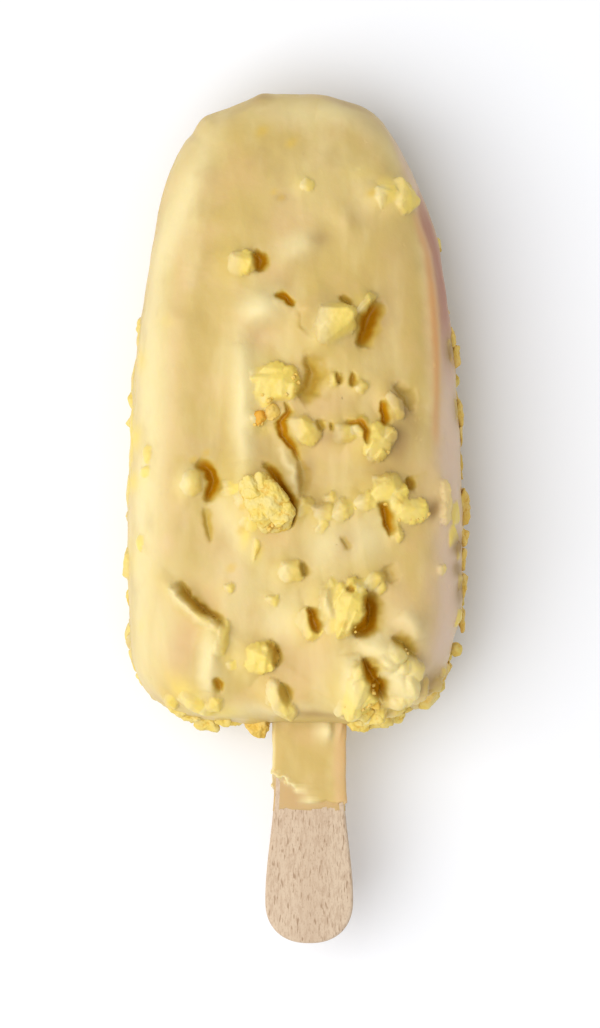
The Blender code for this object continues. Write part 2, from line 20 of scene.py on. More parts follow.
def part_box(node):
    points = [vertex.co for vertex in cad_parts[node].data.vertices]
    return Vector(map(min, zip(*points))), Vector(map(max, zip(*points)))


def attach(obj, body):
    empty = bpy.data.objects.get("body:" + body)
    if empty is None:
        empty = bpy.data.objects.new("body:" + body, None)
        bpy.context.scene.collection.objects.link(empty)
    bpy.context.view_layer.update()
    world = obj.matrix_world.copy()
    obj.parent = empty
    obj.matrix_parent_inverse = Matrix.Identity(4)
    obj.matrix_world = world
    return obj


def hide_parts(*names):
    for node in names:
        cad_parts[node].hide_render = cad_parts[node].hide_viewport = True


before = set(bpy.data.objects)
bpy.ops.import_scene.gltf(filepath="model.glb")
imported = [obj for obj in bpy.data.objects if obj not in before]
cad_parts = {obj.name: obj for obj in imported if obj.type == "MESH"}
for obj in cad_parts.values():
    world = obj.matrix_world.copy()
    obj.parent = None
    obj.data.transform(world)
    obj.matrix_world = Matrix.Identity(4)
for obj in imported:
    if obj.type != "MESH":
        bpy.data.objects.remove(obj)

MM = 0.001
BODY = "root"
ICE_CREAM_NODE = "coated_ice_cream"
STICK_NODE = "stick"
COATING_SLOT = "coating"
STICK_SLOT = "stick"

log = logging.getLogger("ice_lolly")

Colour = tuple[float, float, float]
Socket = bpy.types.NodeSocket

# A crumb's footprint is an oval squared off by this power.
FOOTPRINT_POWER = 2.8

# What the coating's material reads at each point.
COATING_MARKS = ("crack_shade", "cream", "cream_and_painted_light", "lemon", "peach", "shade_and_stain", "flank", "tan", "speck",
                 "lemon_patch", "line")

# Broad forms of the face: x, y, length, width and height, and the turn of the length in degrees.
FACE_FORMS = {
    "upper_swell": (0.9, 37.4, 6.0, 3.2, 0.8, 32),
    "upper_right_swell": (6.5, 41.3, 5.0, 2.6, 0.5, -60),
    "cream_dome": (-4.4, 28.8, 6.6, 5.2, 1.9, 10),
    "dome_hollow": (-4.9, 24.8, 4.0, 3.6, -0.5, 0),
    "cream_ridge": (-7.4, 15.6, 22.0, 4.4, 1.0, 92),
    "golden_valley": (-11.6, 20.0, 60.0, 7.0, -0.8, 88),
    "rim_groove": (-16.8, 20.0, 50.0, 2.6, -0.25, 84),
    "left_step": (-16.9, 27.6, 5.0, 3.0, 0.4, -30),
    "left_lump": (-14.2, 4.9, 6.0, 4.6, 1.6, 75),
    "left_hollow": (-10.2, 10.9, 6.0, 5.0, -0.5, 0),
    "trench": (-13.0, -11.0, 11.0, 3.4, -0.8, -42),
    "low_left_ridge": (-10.8, -19.4, 14.0, 4.0, 1.1, 86),
    "low_hollow": (-14.5, -18.0, 8.0, 4.0, -0.4, 80),
    "nugget_apron": (5.6, 27.0, 10.0, 8.0, 0.8, 70),
    "nugget_shade": (9.8, 26.4, 6.5, 4.2, -0.8, 90),
    "slab_shade": (2.2, 20.4, 6.0, 5.0, -0.7, 60),
    "middle_valley": (0.4, 7.4, 14.0, 4.4, -0.7, -50),
    "middle_bank": (8.6, 12.0, 14.0, 7.0, 0.8, -5),
    "band_bank": (8.6, 0.8, 18.0, 6.0, 0.9, 8),
    "middle_dome": (8.8, -3.6, 8.0, 6.0, 0.8, 60),
    "chunk_apron": (-4.2, 2.0, 11.0, 8.0, 0.7, -52),
    "right_edge": (18.6, 24.0, 34.0, 5.0, 0.6, 93),
    "right_low_edge": (18.0, -8.0, 16.0, 5.0, 0.6, 86),
    "split_apron": (5.6, -12.2, 12.0, 8.0, 1.0, 80),
    "split_shade": (10.2, -12.4, 7.0, 3.2, -0.8, 84),
    "right_swell": (16.4, -15.2, 8.0, 4.4, 0.9, -50),
    "cluster_bank": (11.6, -22.0, 16.0, 12.0, 1.6, -30),
    "low_peach_hollow": (0.8, -20.0, 8.0, 6.0, -0.5, 60),
    "stick_root": (0.6, -25.6, 12.0, 5.0, 0.6, 0),
}

# Crumbs on the face: x, y, length, width and height in millimetres, turn of the length in degrees.
FACE_CRUMBS = {
    "corner_chip": (14.5, 44.2, 4.4, 3.6, 2.5, -50),
    "corner_chip_foot": (12.1, 44.0, 3.2, 2.8, 1.9, 80),
    "tip_bead": (1.6, 45.8, 2.0, 1.6, 0.7, -30),
    "upper_nugget": (-7.2, 34.9, 3.5, 3.1, 2.2, 20),
    "tall_nugget": (5.4, 26.8, 5.8, 5.0, 3.8, 70),
    "upright_blade": (9.7, 29.4, 3.6, 1.5, 2.6, 58),
    "slanted_nugget": (1.2, 12.2, 4.6, 3.1, 2.2, -38),
    "orange_bit": (-5.0, 13.7, 2.1, 1.9, 1.3, 10),
    "brown_grain": (-3.2, 14.6, 2.0, 1.8, 1.3, 40),
    "pit_ridge_left": (5.2, 19.0, 1.9, 1.3, 1.0, 75),
    "pit_ridge_right": (9.0, 18.0, 1.9, 1.4, 1.0, 60),
    "middle_grain": (6.7, 11.6, 3.0, 2.5, 1.8, 15),
    "middle_grain_upper": (8.9, 12.6, 2.8, 2.0, 1.4, 60),
    "shard_top": (13.6, 15.4, 3.6, 1.8, 1.9, -65),
    "pointing_leg": (13.9, -1.6, 3.2, 1.2, 1.3, -72),
    "right_blade": (20.2, 2.8, 5.2, 1.6, 1.8, 88),
    "band_crumb_left": (1.2, 1.5, 2.9, 2.2, 1.4, 70),
    "band_crumb_middle": (4.0, 0.9, 2.8, 2.3, 1.6, 10),
    "band_crumb_right": (6.5, 1.2, 2.9, 2.4, 1.7, 50),
    "band_crumb_end": (9.6, 2.4, 2.8, 2.2, 1.6, 30),
    "chunk_rim": (-8.8, 3.9, 3.0, 1.6, 1.0, 10),
    "lump_cap": (-14.2, 4.9, 3.4, 2.4, 1.4, 75),
    "slanted_shard": (-13.7, -12.5, 8.0, 1.1, 1.5, -44),
    "shard_tail": (-10.0, -16.4, 4.6, 1.8, 1.2, 80),
    "small_crumb": (-0.6, -7.2, 3.4, 2.6, 1.6, 8),
    "split_chunk_ridge": (4.2, -11.6, 5.4, 2.0, 2.0, 84),
    "lower_crumb": (1.9, -14.6, 4.2, 2.6, 2.0, -62),
    "right_grain": (10.8, -8.4, 3.2, 2.0, 1.6, 40),
    "cluster_middle": (10.9, -26.6, 3.2, 2.2, 2.2, 70),
    "cluster_point": (9.2, -28.2, 2.8, 1.9, 2.0, -70),
    "arm_knob": (13.8, -18.5, 2.9, 2.6, 2.4, 0),
    "arm_knob_outer": (16.1, -20.4, 2.8, 2.5, 2.2, -30),
    "arm_plate": (15.4, -22.7, 3.8, 2.2, 2.4, -72),
    "arm_foot": (13.8, -24.8, 2.6, 2.2, 2.0, 20),
    "outer_shard": (17.1, -23.8, 4.2, 1.2, 1.8, -82),
    "tan_shard": (13.8, -26.6, 3.6, 1.6, 1.6, -30),
    "corner_crumb_upper": (19.2, -22.6, 2.8, 2.0, 1.4, -40),
    "stick_root_ridge": (-1.9, -25.4, 6.4, 2.2, 1.7, -68),
    "corner_ridge": (-13.2, -25.4, 5.4, 2.2, 1.5, -48),
    "corner_crumb": (-16.9, -25.0, 2.8, 1.8, 1.3, 70),
}

# Rough crumbs, each a chunk with smaller grains on it, in the same terms.
ROUGH_CRUMBS = {
    "grainy_slab": (-2.6, 18.4, 6.4, 4.0, 2.0, 20),
    "standing_shard": (11.4, 10.6, 4.6, 3.4, 2.3, 78),
    "biscuit_chunk": (-3.9, 2.2, 8.2, 5.2, 2.8, -60),
    "side_crumb": (12.8, 3.8, 4.4, 3.8, 2.2, 30),
    "pointing_crumb": (15.8, 1.0, 4.8, 2.8, 2.0, 6),
    "golden_nugget": (-4.7, -19.0, 4.2, 3.8, 2.6, 30),
    "split_chunk_plate": (7.4, -12.4, 7.0, 3.8, 3.0, 82),
    "cluster_left": (8.8, -23.6, 6.4, 3.8, 2.6, 82),
}

# Small bits stuck on the face: x and y in millimetres and the size of each.
FACE_BITS = {
    "bit_beside_chunk_a": (-9.1, 4.3, 1.8),
    "bit_under_chunk": (-6.6, -0.8, 2.2),
    "bit_beside_slanted_a": (3.4, 12.7, 1.7),
    "bit_upper_right": (15.4, 45.6, 1.6),
    "bit_low_middle": (-3.1, -11.2, 1.8),
    "bit_low_left": (-9.1, -9.6, 1.7),
    "bit_lower_left": (-8.8, -20.0, 1.5),
    "bit_right_side": (20.0, -7.0, 1.8),
    "bit_by_arm": (11.0, -20.4, 2.0),
    "bit_by_cluster": (7.1, -27.0, 2.2),
    "bit_right_corner": (20.7, -21.0, 1.7),
    "bit_right_corner_low": (17.3, -26.0, 2.4),
}

# Lesser crumbs between the others, in the terms of the face crumbs.
SMALL_CRUMBS = {
    "brown_grain_low": (-3.5, 14.1, 1.6, 1.4, 1.0, 0),
    "slab_grain_a": (-3.8, 16.6, 1.9, 1.4, 1.0, 20),
    "slab_grain_b": (-0.4, 17.6, 2.0, 1.5, 1.2, 60),
    "slab_edge": (-5.2, 19.6, 2.2, 1.8, 1.0, 30),
    "shard_grain": (12.8, 11.6, 2.0, 1.6, 1.5, 70),
    "shard_foot": (10.9, 8.9, 2.4, 1.8, 1.3, 20),
    "band_upper": (4.8, 2.8, 1.9, 1.5, 1.1, 30),
    "band_lower": (3.7, -1.0, 2.2, 1.6, 1.0, 70),
    "band_speck": (8.0, 1.7, 1.7, 1.4, 1.0, 10),
    "chunk_left": (-7.0, 2.4, 2.6, 1.8, 1.2, 0),
    "chunk_foot": (-5.9, -0.4, 2.8, 1.5, 1.1, 80),
    "chunk_streak": (-5.4, -4.2, 3.0, 1.2, 0.8, 85),
    "side_upper": (11.6, 5.0, 2.2, 1.6, 1.4, 0),
    "side_lower": (13.9, 2.2, 2.4, 1.8, 1.5, -30),
    "blade_foot": (20.6, 0.2, 2.2, 1.6, 1.2, 60),
    "split_upper": (9.4, -9.2, 2.4, 1.6, 1.2, 20),
    "split_upper_right": (11.6, -9.6, 2.0, 1.4, 1.0, 50),
    "split_left": (5.0, -9.9, 3.4, 1.6, 1.3, 80),
    "split_low": (4.9, -14.7, 2.4, 1.8, 1.2, 70),
    "arm_inner": (12.6, -19.6, 2.8, 2.2, 1.9, -30),
    "arm_middle": (14.6, -20.0, 2.4, 2.0, 1.9, 0),
    "arm_low": (15.0, -24.4, 2.8, 2.0, 1.9, -60),
    "cluster_upper": (8.2, -21.2, 3.2, 2.2, 1.6, 80),
    "cluster_low_left": (6.6, -25.4, 3.0, 2.0, 1.6, 80),
    "cluster_low": (9.0, -26.4, 3.0, 2.4, 2.0, 0),
    "cluster_right": (12.4, -27.4, 2.6, 2.0, 1.7, 20),
    "cluster_gold": (11.0, -25.2, 1.6, 1.3, 1.6, 0),
    "corner_speck_a": (20.0, -21.4, 2.0, 1.2, 0.9, 50),
    "corner_speck_b": (18.4, -23.6, 2.2, 1.3, 1.0, 45),
    "low_left_speck": (-14.8, -24.6, 2.2, 1.4, 1.0, 20),
    "low_left_plate": (-11.4, -25.6, 3.6, 2.0, 1.2, 60),
    "left_speck_a": (-20.4, 8.8, 2.4, 1.6, 0.8, 80),
    "left_speck_b": (-20.7, 6.4, 2.0, 1.6, 0.8, 0),
    "left_speck_c": (-21.2, -3.4, 2.2, 1.6, 0.8, 70),
    "root_speck": (-3.4, -24.0, 2.6, 1.5, 1.0, 80),
}

# Crumbs on the rim: side (-1 left, 1 right), y, height over the middle plane, length, width and height in mm.
SIDE_CRUMBS = {
    "left_bead_upper": (-1, 25.4, 1.0, 3.2, 2.0, 0.9),
    "left_bump": (-1, 19.4, 0.5, 4.6, 2.6, 0.8),
    "left_flake_a": (-1, 13.2, 2.0, 4.4, 2.4, 0.9),
    "left_flake_b": (-1, 8.8, 3.0, 4.6, 3.0, 0.9),
    "left_flake_c": (-1, 3.6, 1.5, 4.4, 2.6, 0.8),
    "left_chip": (-1, -6.4, 2.0, 4.2, 2.8, 1.1),
    "left_low_bit": (-1, -18.6, 1.0, 2.2, 1.8, 0.7),
    "left_under_a": (-1, 32.0, -4.0, 3.4, 2.4, 0.9),
    "left_under_b": (-1, -1.0, -4.5, 3.8, 2.8, 1.0),
    "left_under_c": (-1, -12.6, -4.0, 3.0, 2.4, 0.9),
    "right_bead_upper": (1, 38.0, 0.5, 2.4, 1.8, 0.8),
    "right_bit_a": (1, 25.4, 2.0, 2.8, 2.0, 0.9),
    "right_bit_b": (1, 22.8, 1.0, 3.2, 2.2, 1.0),
    "right_flake": (1, 14.8, 1.0, 3.6, 2.2, 1.1),
    "right_bit_c": (1, 11.6, 0.5, 3.0, 2.0, 0.8),
    "right_slab": (1, 1.8, 0.5, 5.2, 3.2, 1.2),
    "right_chunk": (1, -2.4, 2.4, 3.0, 2.4, 1.1),
    "right_bit_d": (1, -5.6, 1.6, 3.0, 2.2, 0.9),
    "right_bit_e": (1, -9.4, 1.5, 3.4, 2.0, 0.9),
    "right_low_flake": (1, -13.8, 0.0, 3.6, 2.2, 1.0),
    "right_under_a": (1, 30.6, -4.5, 3.2, 2.4, 0.9),
    "right_under_b": (1, 7.6, -4.5, 4.0, 2.8, 1.0),
    "right_side_slab": (1, 1.4, 6.4, 3.6, 2.6, 0.9),
    "right_side_chunk": (1, -2.0, 7.2, 2.8, 2.4, 1.0),
    "right_side_bit_a": (1, -4.4, 5.4, 2.2, 1.8, 0.9),
    "right_side_bit_b": (1, -8.4, 4.8, 2.6, 1.8, 0.9),
    "right_side_bit_c": (1, -13.4, 4.6, 2.8, 2.0, 1.0),
    "right_side_bit_d": (1, 24.2, 4.6, 2.8, 2.0, 0.9),
    "right_side_bit_e": (1, 15.8, 4.0, 2.4, 1.8, 0.9),
    "right_corner_a": (1, -21.2, 0.5, 3.2, 2.0, 1.0),
    "right_corner_b": (1, -24.0, 1.0, 3.8, 2.4, 1.1),
}

# Crumbs of the rim that stand out at their full height.
PROUD_CRUMBS = ("left_chip", "right_slab", "right_chunk", "right_bit_b", "right_bit_e")

# Crumbs on the end round the stick: x, height over the middle plane, length, width and height in mm.
BASE_CRUMBS = {
    "hanging_left": (-12.2, 0.0, 4.2, 2.6, 1.9),
    "hanging_left_low": (-14.6, 2.0, 3.0, 2.2, 1.1),
    "left_end_grain": (-10.2, 3.0, 2.4, 2.0, 1.0),
    "left_end_bit": (-16.6, 4.0, 2.6, 2.0, 1.0),
    "beside_stick": (-5.2, 1.5, 3.2, 2.6, 2.4),
    "under_cluster_a": (9.2, 3.6, 3.2, 2.6, 1.8),
    "under_cluster_b": (12.0, 2.4, 3.4, 3.0, 1.5),
    "under_cluster_c": (14.8, 0.5, 3.6, 2.6, 1.3),
    "base_low_left": (-9.0, -4.6, 3.4, 2.4, 1.2),
    "base_low_middle": (1.0, -6.0, 3.2, 2.4, 1.1),
    "base_low_right": (11.0, -4.8, 3.4, 2.6, 1.2),
}

# Cracks and pits in the coating: points from the first to the last, width, depth, height of the lip on the
# side of the light, and how strong the painted amber shade at the bottom is.
CRACKS = {
    "by_upper_nugget": (((-5.9, 36.5), (-4.8, 35.5), (-5.3, 34.0)), 1.3, 1.0, 0.1, 0.9),
    "over_cream_dome": (((-2.8, 30.7), (-1.5, 30.2), (-0.1, 29.1)), 0.8, 0.8, 0.25, 1.0),
    "beside_cream_dome": (((0.5, 28.4), (1.3, 26.6), (2.4, 24.6)), 2.0, 0.5, 0.0, 0.15),
    "over_tall_nugget": (((6.0, 30.3), (7.6, 29.1)), 0.8, 0.8, 0.0, 0.6),
    "by_tall_nugget": (((11.3, 29.8), (9.9, 27.5), (9.4, 25.6), (8.7, 23.6)), 1.9, 1.5, 0.0, 0.9),
    "by_grainy_slab": (((1.3, 22.2), (2.3, 20.0), (1.7, 17.8), (0.1, 16.6)), 2.0, 1.2, 0.0, 0.6),
    "pit_left": (((5.6, 20.0), (5.9, 18.3)), 0.7, 0.7, 0.2, 0.7),
    "pit_right": (((7.8, 20.0), (7.8, 18.0)), 0.8, 0.7, 0.2, 0.7),
    "grain_gully": (((-1.5, 16.0), (-1.0, 14.5), (-2.3, 13.1), (-1.6, 11.4), (-0.3, 9.6), (0.5, 7.8)),
                    0.9, 0.9, 0.1, 0.9),
    "grain_gully_end": (((0.5, 7.8), (1.0, 5.3), (0.8, 3.0)), 1.2, 0.6, 0.3, 0.35),
    "over_middle_grain": (((6.9, 13.2), (8.7, 13.0), (9.5, 12.0), (9.7, 10.0)), 0.8, 0.8, 0.0, 0.9),
    "hole_by_shard": (((11.8, 16.2), (12.1, 14.4), (12.2, 12.6)), 0.8, 0.8, 0.0, 1.0),
    "beyond_shard": (((13.5, 18.2), (15.1, 16.6), (15.8, 14.6)), 1.6, 0.9, 0.2, 0.35),
    "by_slanted_nugget": (((3.1, 13.6), (3.4, 12.0)), 0.9, 0.7, 0.0, 0.6),
    "by_bit": (((4.8, 13.2), (5.1, 12.1)), 0.7, 0.6, 0.0, 0.6),
    "by_left_lump": (((-13.8, 7.4), (-12.0, 6.6), (-11.5, 5.0), (-12.2, 2.3)), 1.3, 1.3, 0.1, 1.0),
    "below_left_lump": (((-12.6, 1.4), (-12.2, -1.1), (-11.7, -3.3)), 0.9, 0.45, 0.1, 0.5),
    "by_biscuit_chunk": (((-4.4, 7.5), (-2.7, 5.3), (-1.2, 3.0), (-0.5, 1.0), (-0.9, -1.2)),
                         1.1, 1.3, 0.0, 1.0),
    "under_pointing_crumb": (((11.5, 2.3), (12.3, 0.3), (13.1, -2.3)), 1.0, 1.1, 0.0, 0.9),
    "by_side_crumb": (((15.2, 5.5), (16.2, 3.9)), 1.5, 1.0, 0.0, 0.7),
    "by_middle_dome": (((6.3, -2.5), (7.3, -4.4)), 0.9, 0.5, 0.1, 0.3),
    "by_small_crumb": (((1.0, -5.9), (1.3, -7.9)), 0.9, 0.8, 0.0, 0.5),
    "trench": (((-16.2, -8.8), (-14.5, -11.0), (-12.5, -12.8), (-9.6, -14.6)), 0.9, 1.1, 0.7, 0.7),
    "split": (((1.7, -12.2), (2.3, -13.9), (3.3, -15.7)), 1.1, 1.1, 0.2, 0.9),
    "by_split_chunk": (((9.5, -10.4), (10.2, -12.3), (9.7, -14.4), (7.8, -15.8)), 1.7, 1.6, 0.0, 0.95),
    "over_split_chunk": (((7.0, -9.5), (8.1, -10.0)), 0.9, 0.7, 0.0, 0.7),
    "by_golden_nugget": (((-4.1, -16.9), (-2.8, -18.3), (-2.7, -20.4)), 1.0, 0.9, 0.0, 0.7),
    "right_dip": (((12.2, -6.6), (13.4, -8.9)), 1.6, 0.6, 0.0, 0.3),
    "beyond_arm": (((13.3, -16.1), (14.8, -17.5), (16.5, -19.0)), 1.1, 0.9, 0.0, 0.6),
    "under_arm": (((9.1, -19.3), (10.2, -21.4), (11.3, -23.3), (12.2, -24.8)), 1.3, 1.6, 0.1, 1.0),
    "low_left_slit": (((-11.2, -21.9), (-10.3, -23.9)), 0.9, 0.7, 0.2, 0.8),
    "stick_root_slit": (((-2.2, -22.6), (-0.9, -25.4)), 1.1, 0.7, 0.0, 0.6),
}

# Crests of cream on the coating, in the same terms: points, width and height.
CRESTS = {
    "trench_crest": (((-17.0, -9.2), (-15.6, -11.6), (-13.4, -13.8), (-11.2, -15.2)), 1.3, 0.8),
    "low_left_crest": (((-11.5, -15.4), (-12.0, -18.0), (-12.2, -21.0), (-12.0, -23.6)), 2.6, 0.9),
    "long_crest": (((-7.2, 24.0), (-7.4, 18.0), (-7.6, 12.0), (-7.0, 8.0)), 3.0, 0.5),
    "arm_crest": (((9.2, -16.2), (11.6, -18.4), (13.4, -21.0), (15.0, -24.6)), 3.4, 1.1),
    "cluster_crest": (((7.4, -18.6), (7.6, -21.6), (8.2, -24.6)), 3.0, 0.9),
    "split_crest": (((4.2, -9.6), (4.2, -12.0), (4.6, -14.0)), 1.5, 0.8),
    "gully_crest": (((-2.2, 9.8), (-0.2, 6.4), (0.2, 3.2)), 1.4, 0.4),
    "right_edge_crest": (((17.6, 38.0), (19.0, 30.0), (19.6, 22.0), (19.0, 14.0)), 2.2, 0.35),
    "right_low_crest": (((14.4, -12.8), (16.0, -14.6), (17.0, -16.8)), 2.6, 0.5),
    "tip_crest": (((3.0, 56.4), (8.0, 55.6), (12.0, 52.6), (14.6, 48.0)), 3.0, 0.3),
}

# Patches where the coating is thin and peach: x, y, length, width, strength and turn.
PEACH_PATCHES = {
    "upper": (-1.4, 41.0, 9.0, 5.0, 0.7, 80),
    "by_upper_nugget": (-3.4, 33.8, 7.0, 4.0, 0.7, -30),
    "under_dome": (-5.2, 25.0, 4.0, 3.6, 0.9, 0),
    "centre": (3.0, 15.4, 11.0, 5.0, 0.8, 10),
    "long_line": (-16.8, 22.0, 60.0, 2.4, 0.6, 86),
    "left_low": (-18.0, -3.6, 4.0, 3.0, 1.0, 60),
    "below_hollow": (-8.2, -8.2, 4.6, 2.6, 0.8, 60),
    "low_left": (-15.2, -17.0, 12.0, 4.4, 1.1, 70),
    "low_left_dimple": (-15.4, -19.4, 3.0, 2.0, 1.0, 60),
    "under_chunk": (-3.2, -2.8, 5.0, 2.6, 0.9, 10),
    "low_middle": (0.4, -20.4, 12.0, 9.0, 0.7, 70),
    "low_right": (15.0, -12.0, 10.0, 5.0, 0.7, -60),
    "right_face": (17.2, 4.0, 12.0, 4.0, 0.6, 88),
    "shoulder": (14.0, 32.0, 16.0, 5.0, 0.4, 88),
    "right_line": (18.4, 25.0, 20.0, 1.6, 1.0, 93),
}

# Patches where it is creamy, in the same terms. Those along the left rim are painted light on the
# side that faces the lamp.
CREAM_AND_LIGHT_PATCHES = {
    "left_rim": (-20.6, 8.0, 90.0, 6.0, 0.95, 88),
    "upper_left_rim": (-17.0, 40.0, 34.0, 5.0, 0.9, 68),
    "low_face": (-8.0, -8.0, 12.0, 10.0, 0.3, 0),
    "low_centre": (-1.2, -14.0, 8.0, 6.0, 0.65, 20),
    "bottom": (-6.0, -26.4, 16.0, 3.0, 0.6, 0),
    "tip": (1.0, 56.0, 18.0, 5.0, 0.55, 0),
    "tip_centre": (2.0, 46.0, 12.0, 14.0, 0.3, 0),
    "dome": (-4.8, 29.0, 6.6, 5.4, 1.0, 10),
    "long_ridge": (-7.2, 17.0, 24.0, 3.4, 0.6, 92),
    "low_left_ridge": (-12.0, -19.6, 12.0, 2.6, 0.7, 88),
    "upper_swell": (0.4, 37.6, 6.0, 4.0, 0.8, 30),
    "upper_right": (9.0, 47.0, 20.0, 7.0, 0.2, -50),
    "middle_dome": (9.6, -2.8, 8.0, 6.0, 0.7, 60),
    "middle_left_dome": (3.8, -3.6, 7.0, 6.0, 0.6, 60),
    "arm_root": (10.2, -16.4, 8.0, 5.0, 1.0, -40),
    "arm": (14.0, -21.4, 12.0, 6.4, 1.0, -66),
    "cluster": (8.2, -23.4, 10.0, 6.0, 0.7, 84),
    "low_left": (-19.0, -16.0, 20.0, 5.0, 0.6, 80),
    "left_lump": (-14.6, 5.0, 5.0, 4.0, 0.7, 75),
    "side_face": (3.0, 26.6, 6.0, 3.4, 0.7, 70),
    "by_chunk": (-8.4, -1.0, 14.0, 4.0, 0.7, -62),
}

# Patches where crumbs under it show lemon, in the same terms.
LEMON_PATCHES = {
    "under_chunk": (-6.7, -2.0, 4.5, 1.6, 0.8, 80),
    "under_chunk_low": (-5.3, -5.0, 3.0, 1.4, 0.7, 80),
    "left_rim_a": (-22.3, 11.5, 4.5, 2.0, 0.9, 90),
    "left_rim_b": (-22.5, 5.0, 3.0, 2.0, 0.8, 90),
    "left_rim_c": (-23.0, -5.6, 4.0, 2.0, 0.8, 90),
    "left_rim_d": (-21.4, 22.0, 4.0, 1.6, 0.6, 88),
    "band": (2.6, 1.2, 7.0, 2.6, 0.35, 0),
    "under_orange_bit": (-4.2, 12.2, 3.0, 2.0, 0.4, 0),
    "by_corner_chip": (12.4, 45.4, 3.2, 3.2, 0.6, 0),
    "over_corner_chip": (9.0, 47.6, 5.0, 3.0, 0.3, 0),
    "by_golden_nugget": (-9.2, -18.8, 2.4, 2.0, 0.5, 0),
    "low_left": (-14.6, -23.8, 7.0, 2.6, 0.75, -40),
    "low_left_crust": (-11.0, -26.4, 9.0, 2.4, 0.7, -12),
    "cluster_left": (9.4, -23.8, 5.0, 6.4, 0.75, 0),
    "cluster_low": (12.6, -26.6, 6.0, 3.0, 0.6, 20),
    "cluster_tip": (15.0, -19.0, 3.0, 3.4, 0.4, -40),
    "stick_root": (-1.6, -24.6, 4.0, 2.0, 0.4, -70),
    "pit_ridges": (6.6, 19.2, 6.0, 2.4, 0.35, 0),
    "left_low_crumb": (-21.4, -14.6, 2.4, 1.6, 0.6, 90),
    "over_split_chunk": (11.0, -8.8, 4.0, 2.4, 0.4, 20),
    "upper_left_step": (-17.4, 27.0, 3.4, 1.8, 0.35, -30),
}

# Patches of painted shade, dull and brownish, in hollows, beside crumbs, on the shaded right rim and
# under the coating's edge at the stick, in the same terms.
PAINTED_SHADE_PATCHES = {
    "beyond_shard": (14.9, 15.0, 9.0, 2.6, 0.75, -65),
    "beside_shard": (14.2, 10.2, 7.0, 3.6, 0.9, 80),
    "under_gully": (1.5, 6.0, 5.0, 2.0, 0.9, 80),
    "by_grainy_slab": (2.3, 19.6, 5.0, 2.4, 0.8, 75),
    "band_left": (3.1, 1.8, 4.0, 3.0, 0.5, 0),
    "by_middle_dome": (6.9, -3.7, 5.0, 3.0, 0.5, 70),
    "beyond_arm": (15.6, -17.7, 6.0, 1.7, 0.9, -45),
    "side_shade": (12.2, 6.7, 6.0, 4.0, 0.45, 0),
    "low_right_dip": (13.1, -7.9, 5.0, 2.5, 0.4, -60),
    "tip_rim": (7.6, 57.4, 9.0, 1.8, 0.6, -25),
    "tip_right_shade": (10.4, 54.4, 9.0, 3.4, 0.35, -42),
    "by_middle_grain": (4.6, 11.2, 4.0, 2.6, 0.7, 0),
    "tip_left": (-4.6, 58.4, 3.0, 1.2, 0.6, 0),
    "beside_nugget": (11.6, 27.4, 7.0, 2.6, 0.7, 80),
    "dome_valley": (2.2, 27.6, 7.0, 2.6, 0.4, 70),
    "tip_hollow": (3.3, 38.4, 3.0, 2.4, 0.6, 0),
    "right_corner": (18.4, -22.4, 4.4, 2.2, 0.7, 50),
    "stick_root": (3.0, -26.9, 7.0, 1.0, 0.7, 0),
    "flank_a": (18.9, 1.2, 3.0, 1.2, 1.2, 85),
    "flank_b": (22.2, -3.8, 3.0, 1.6, 1.2, 90),
    "flank_c": (22.3, -7.0, 2.6, 1.6, 1.2, 90),
    "flank_d": (22.8, -10.3, 4.0, 1.8, 1.2, 90),
    "flank_e": (21.4, 23.2, 3.6, 1.6, 1.2, 90),
    "flank_f": (22.6, 15.2, 4.4, 1.6, 1.1, 90),
    "tip_speck": (-1.9, 44.1, 1.6, 1.0, 0.7, 0),
}

# Where the right side, away from the lamp, gets a painted mauve shade, in the same terms.
FLANK_SHADE_PATCHES = {
    "low_right": (17.8, -20.8, 10.0, 5.5, 0.7, 62),
    "low_flank": (20.2, -11.0, 20.0, 4.6, 0.7, 88),
    "middle_flank": (20.6, 10.0, 20.0, 3.4, 0.6, 90),
}

# Thin orange line where the face turns over into the right flank: its points from the top down, its width.
FLANK_LINE = ((16.4, 42.0), (18.0, 36.6), (18.8, 28.0), (19.3, 22.6), (19.3, 16.4), (19.4, 10.2))
FLANK_LINE_WIDTH = 0.55

# Golden specks: x, y and size.
GOLD_SPECKS = (
    (-5.9, 0.7, 0.9), (6.6, -14.4, 1.1), (10.8, -25.9, 0.9), (12.7, -27.3, 1.0), (6.9, -28.4, 0.9),
    (-4.6, 53.4, 1.6), (-0.6, 51.7, 1.4), (-1.9, 44.1, 0.8), (-12.2, 9.0, 1.1), (-14.0, 8.0, 1.0),
    (-7.2, 1.6, 1.0), (-7.4, -1.6, 1.2), (-5.0, -4.4, 1.0), (-8.8, -6.8, 1.2), (14.2, 2.4, 0.9),
    (10.3, 44.5, 1.0), (-2.9, 44.9, 0.8),
)

# Bumps and dents that show in the outline: x, y, length, width, height and turn.
RIM_LUMPS = {
    "left_bump": (-23.0, 19.4, 5.0, 4.0, 0.25, 90),
    "right_bump": (21.0, 38.0, 4.0, 4.0, 0.3, 90),
    "tip_left": (-9.6, 57.6, 8.0, 5.0, -0.8, 35),
    "tip_step": (-12.6, 55.6, 2.4, 3.0, 0.3, 35),
    "tip_step_low": (-14.2, 53.2, 1.8, 3.0, -0.25, 45),
    "tip_bump": (-4.8, 59.0, 2.6, 3.0, 0.3, 0),
    "tip_right": (6.6, 58.8, 6.0, 4.0, -0.45, -25),
    "low_right": (15.0, -28.0, 9.0, 5.0, -0.9, 15),
    "right_low": (23.4, -17.6, 8.0, 5.0, -0.7, 80),
}

# Drops of glaze on the top of the stick, in the same terms.
GLAZE_LUMPS = {
    "middle_drop": (4.0, -29.2, 3.0, 1.5, 0.85, 88),
    "upper_drop": (0.7, -27.6, 2.6, 1.2, 0.45, -10),
    "right_drop": (5.9, -28.6, 3.4, 0.8, 0.35, 84),
}


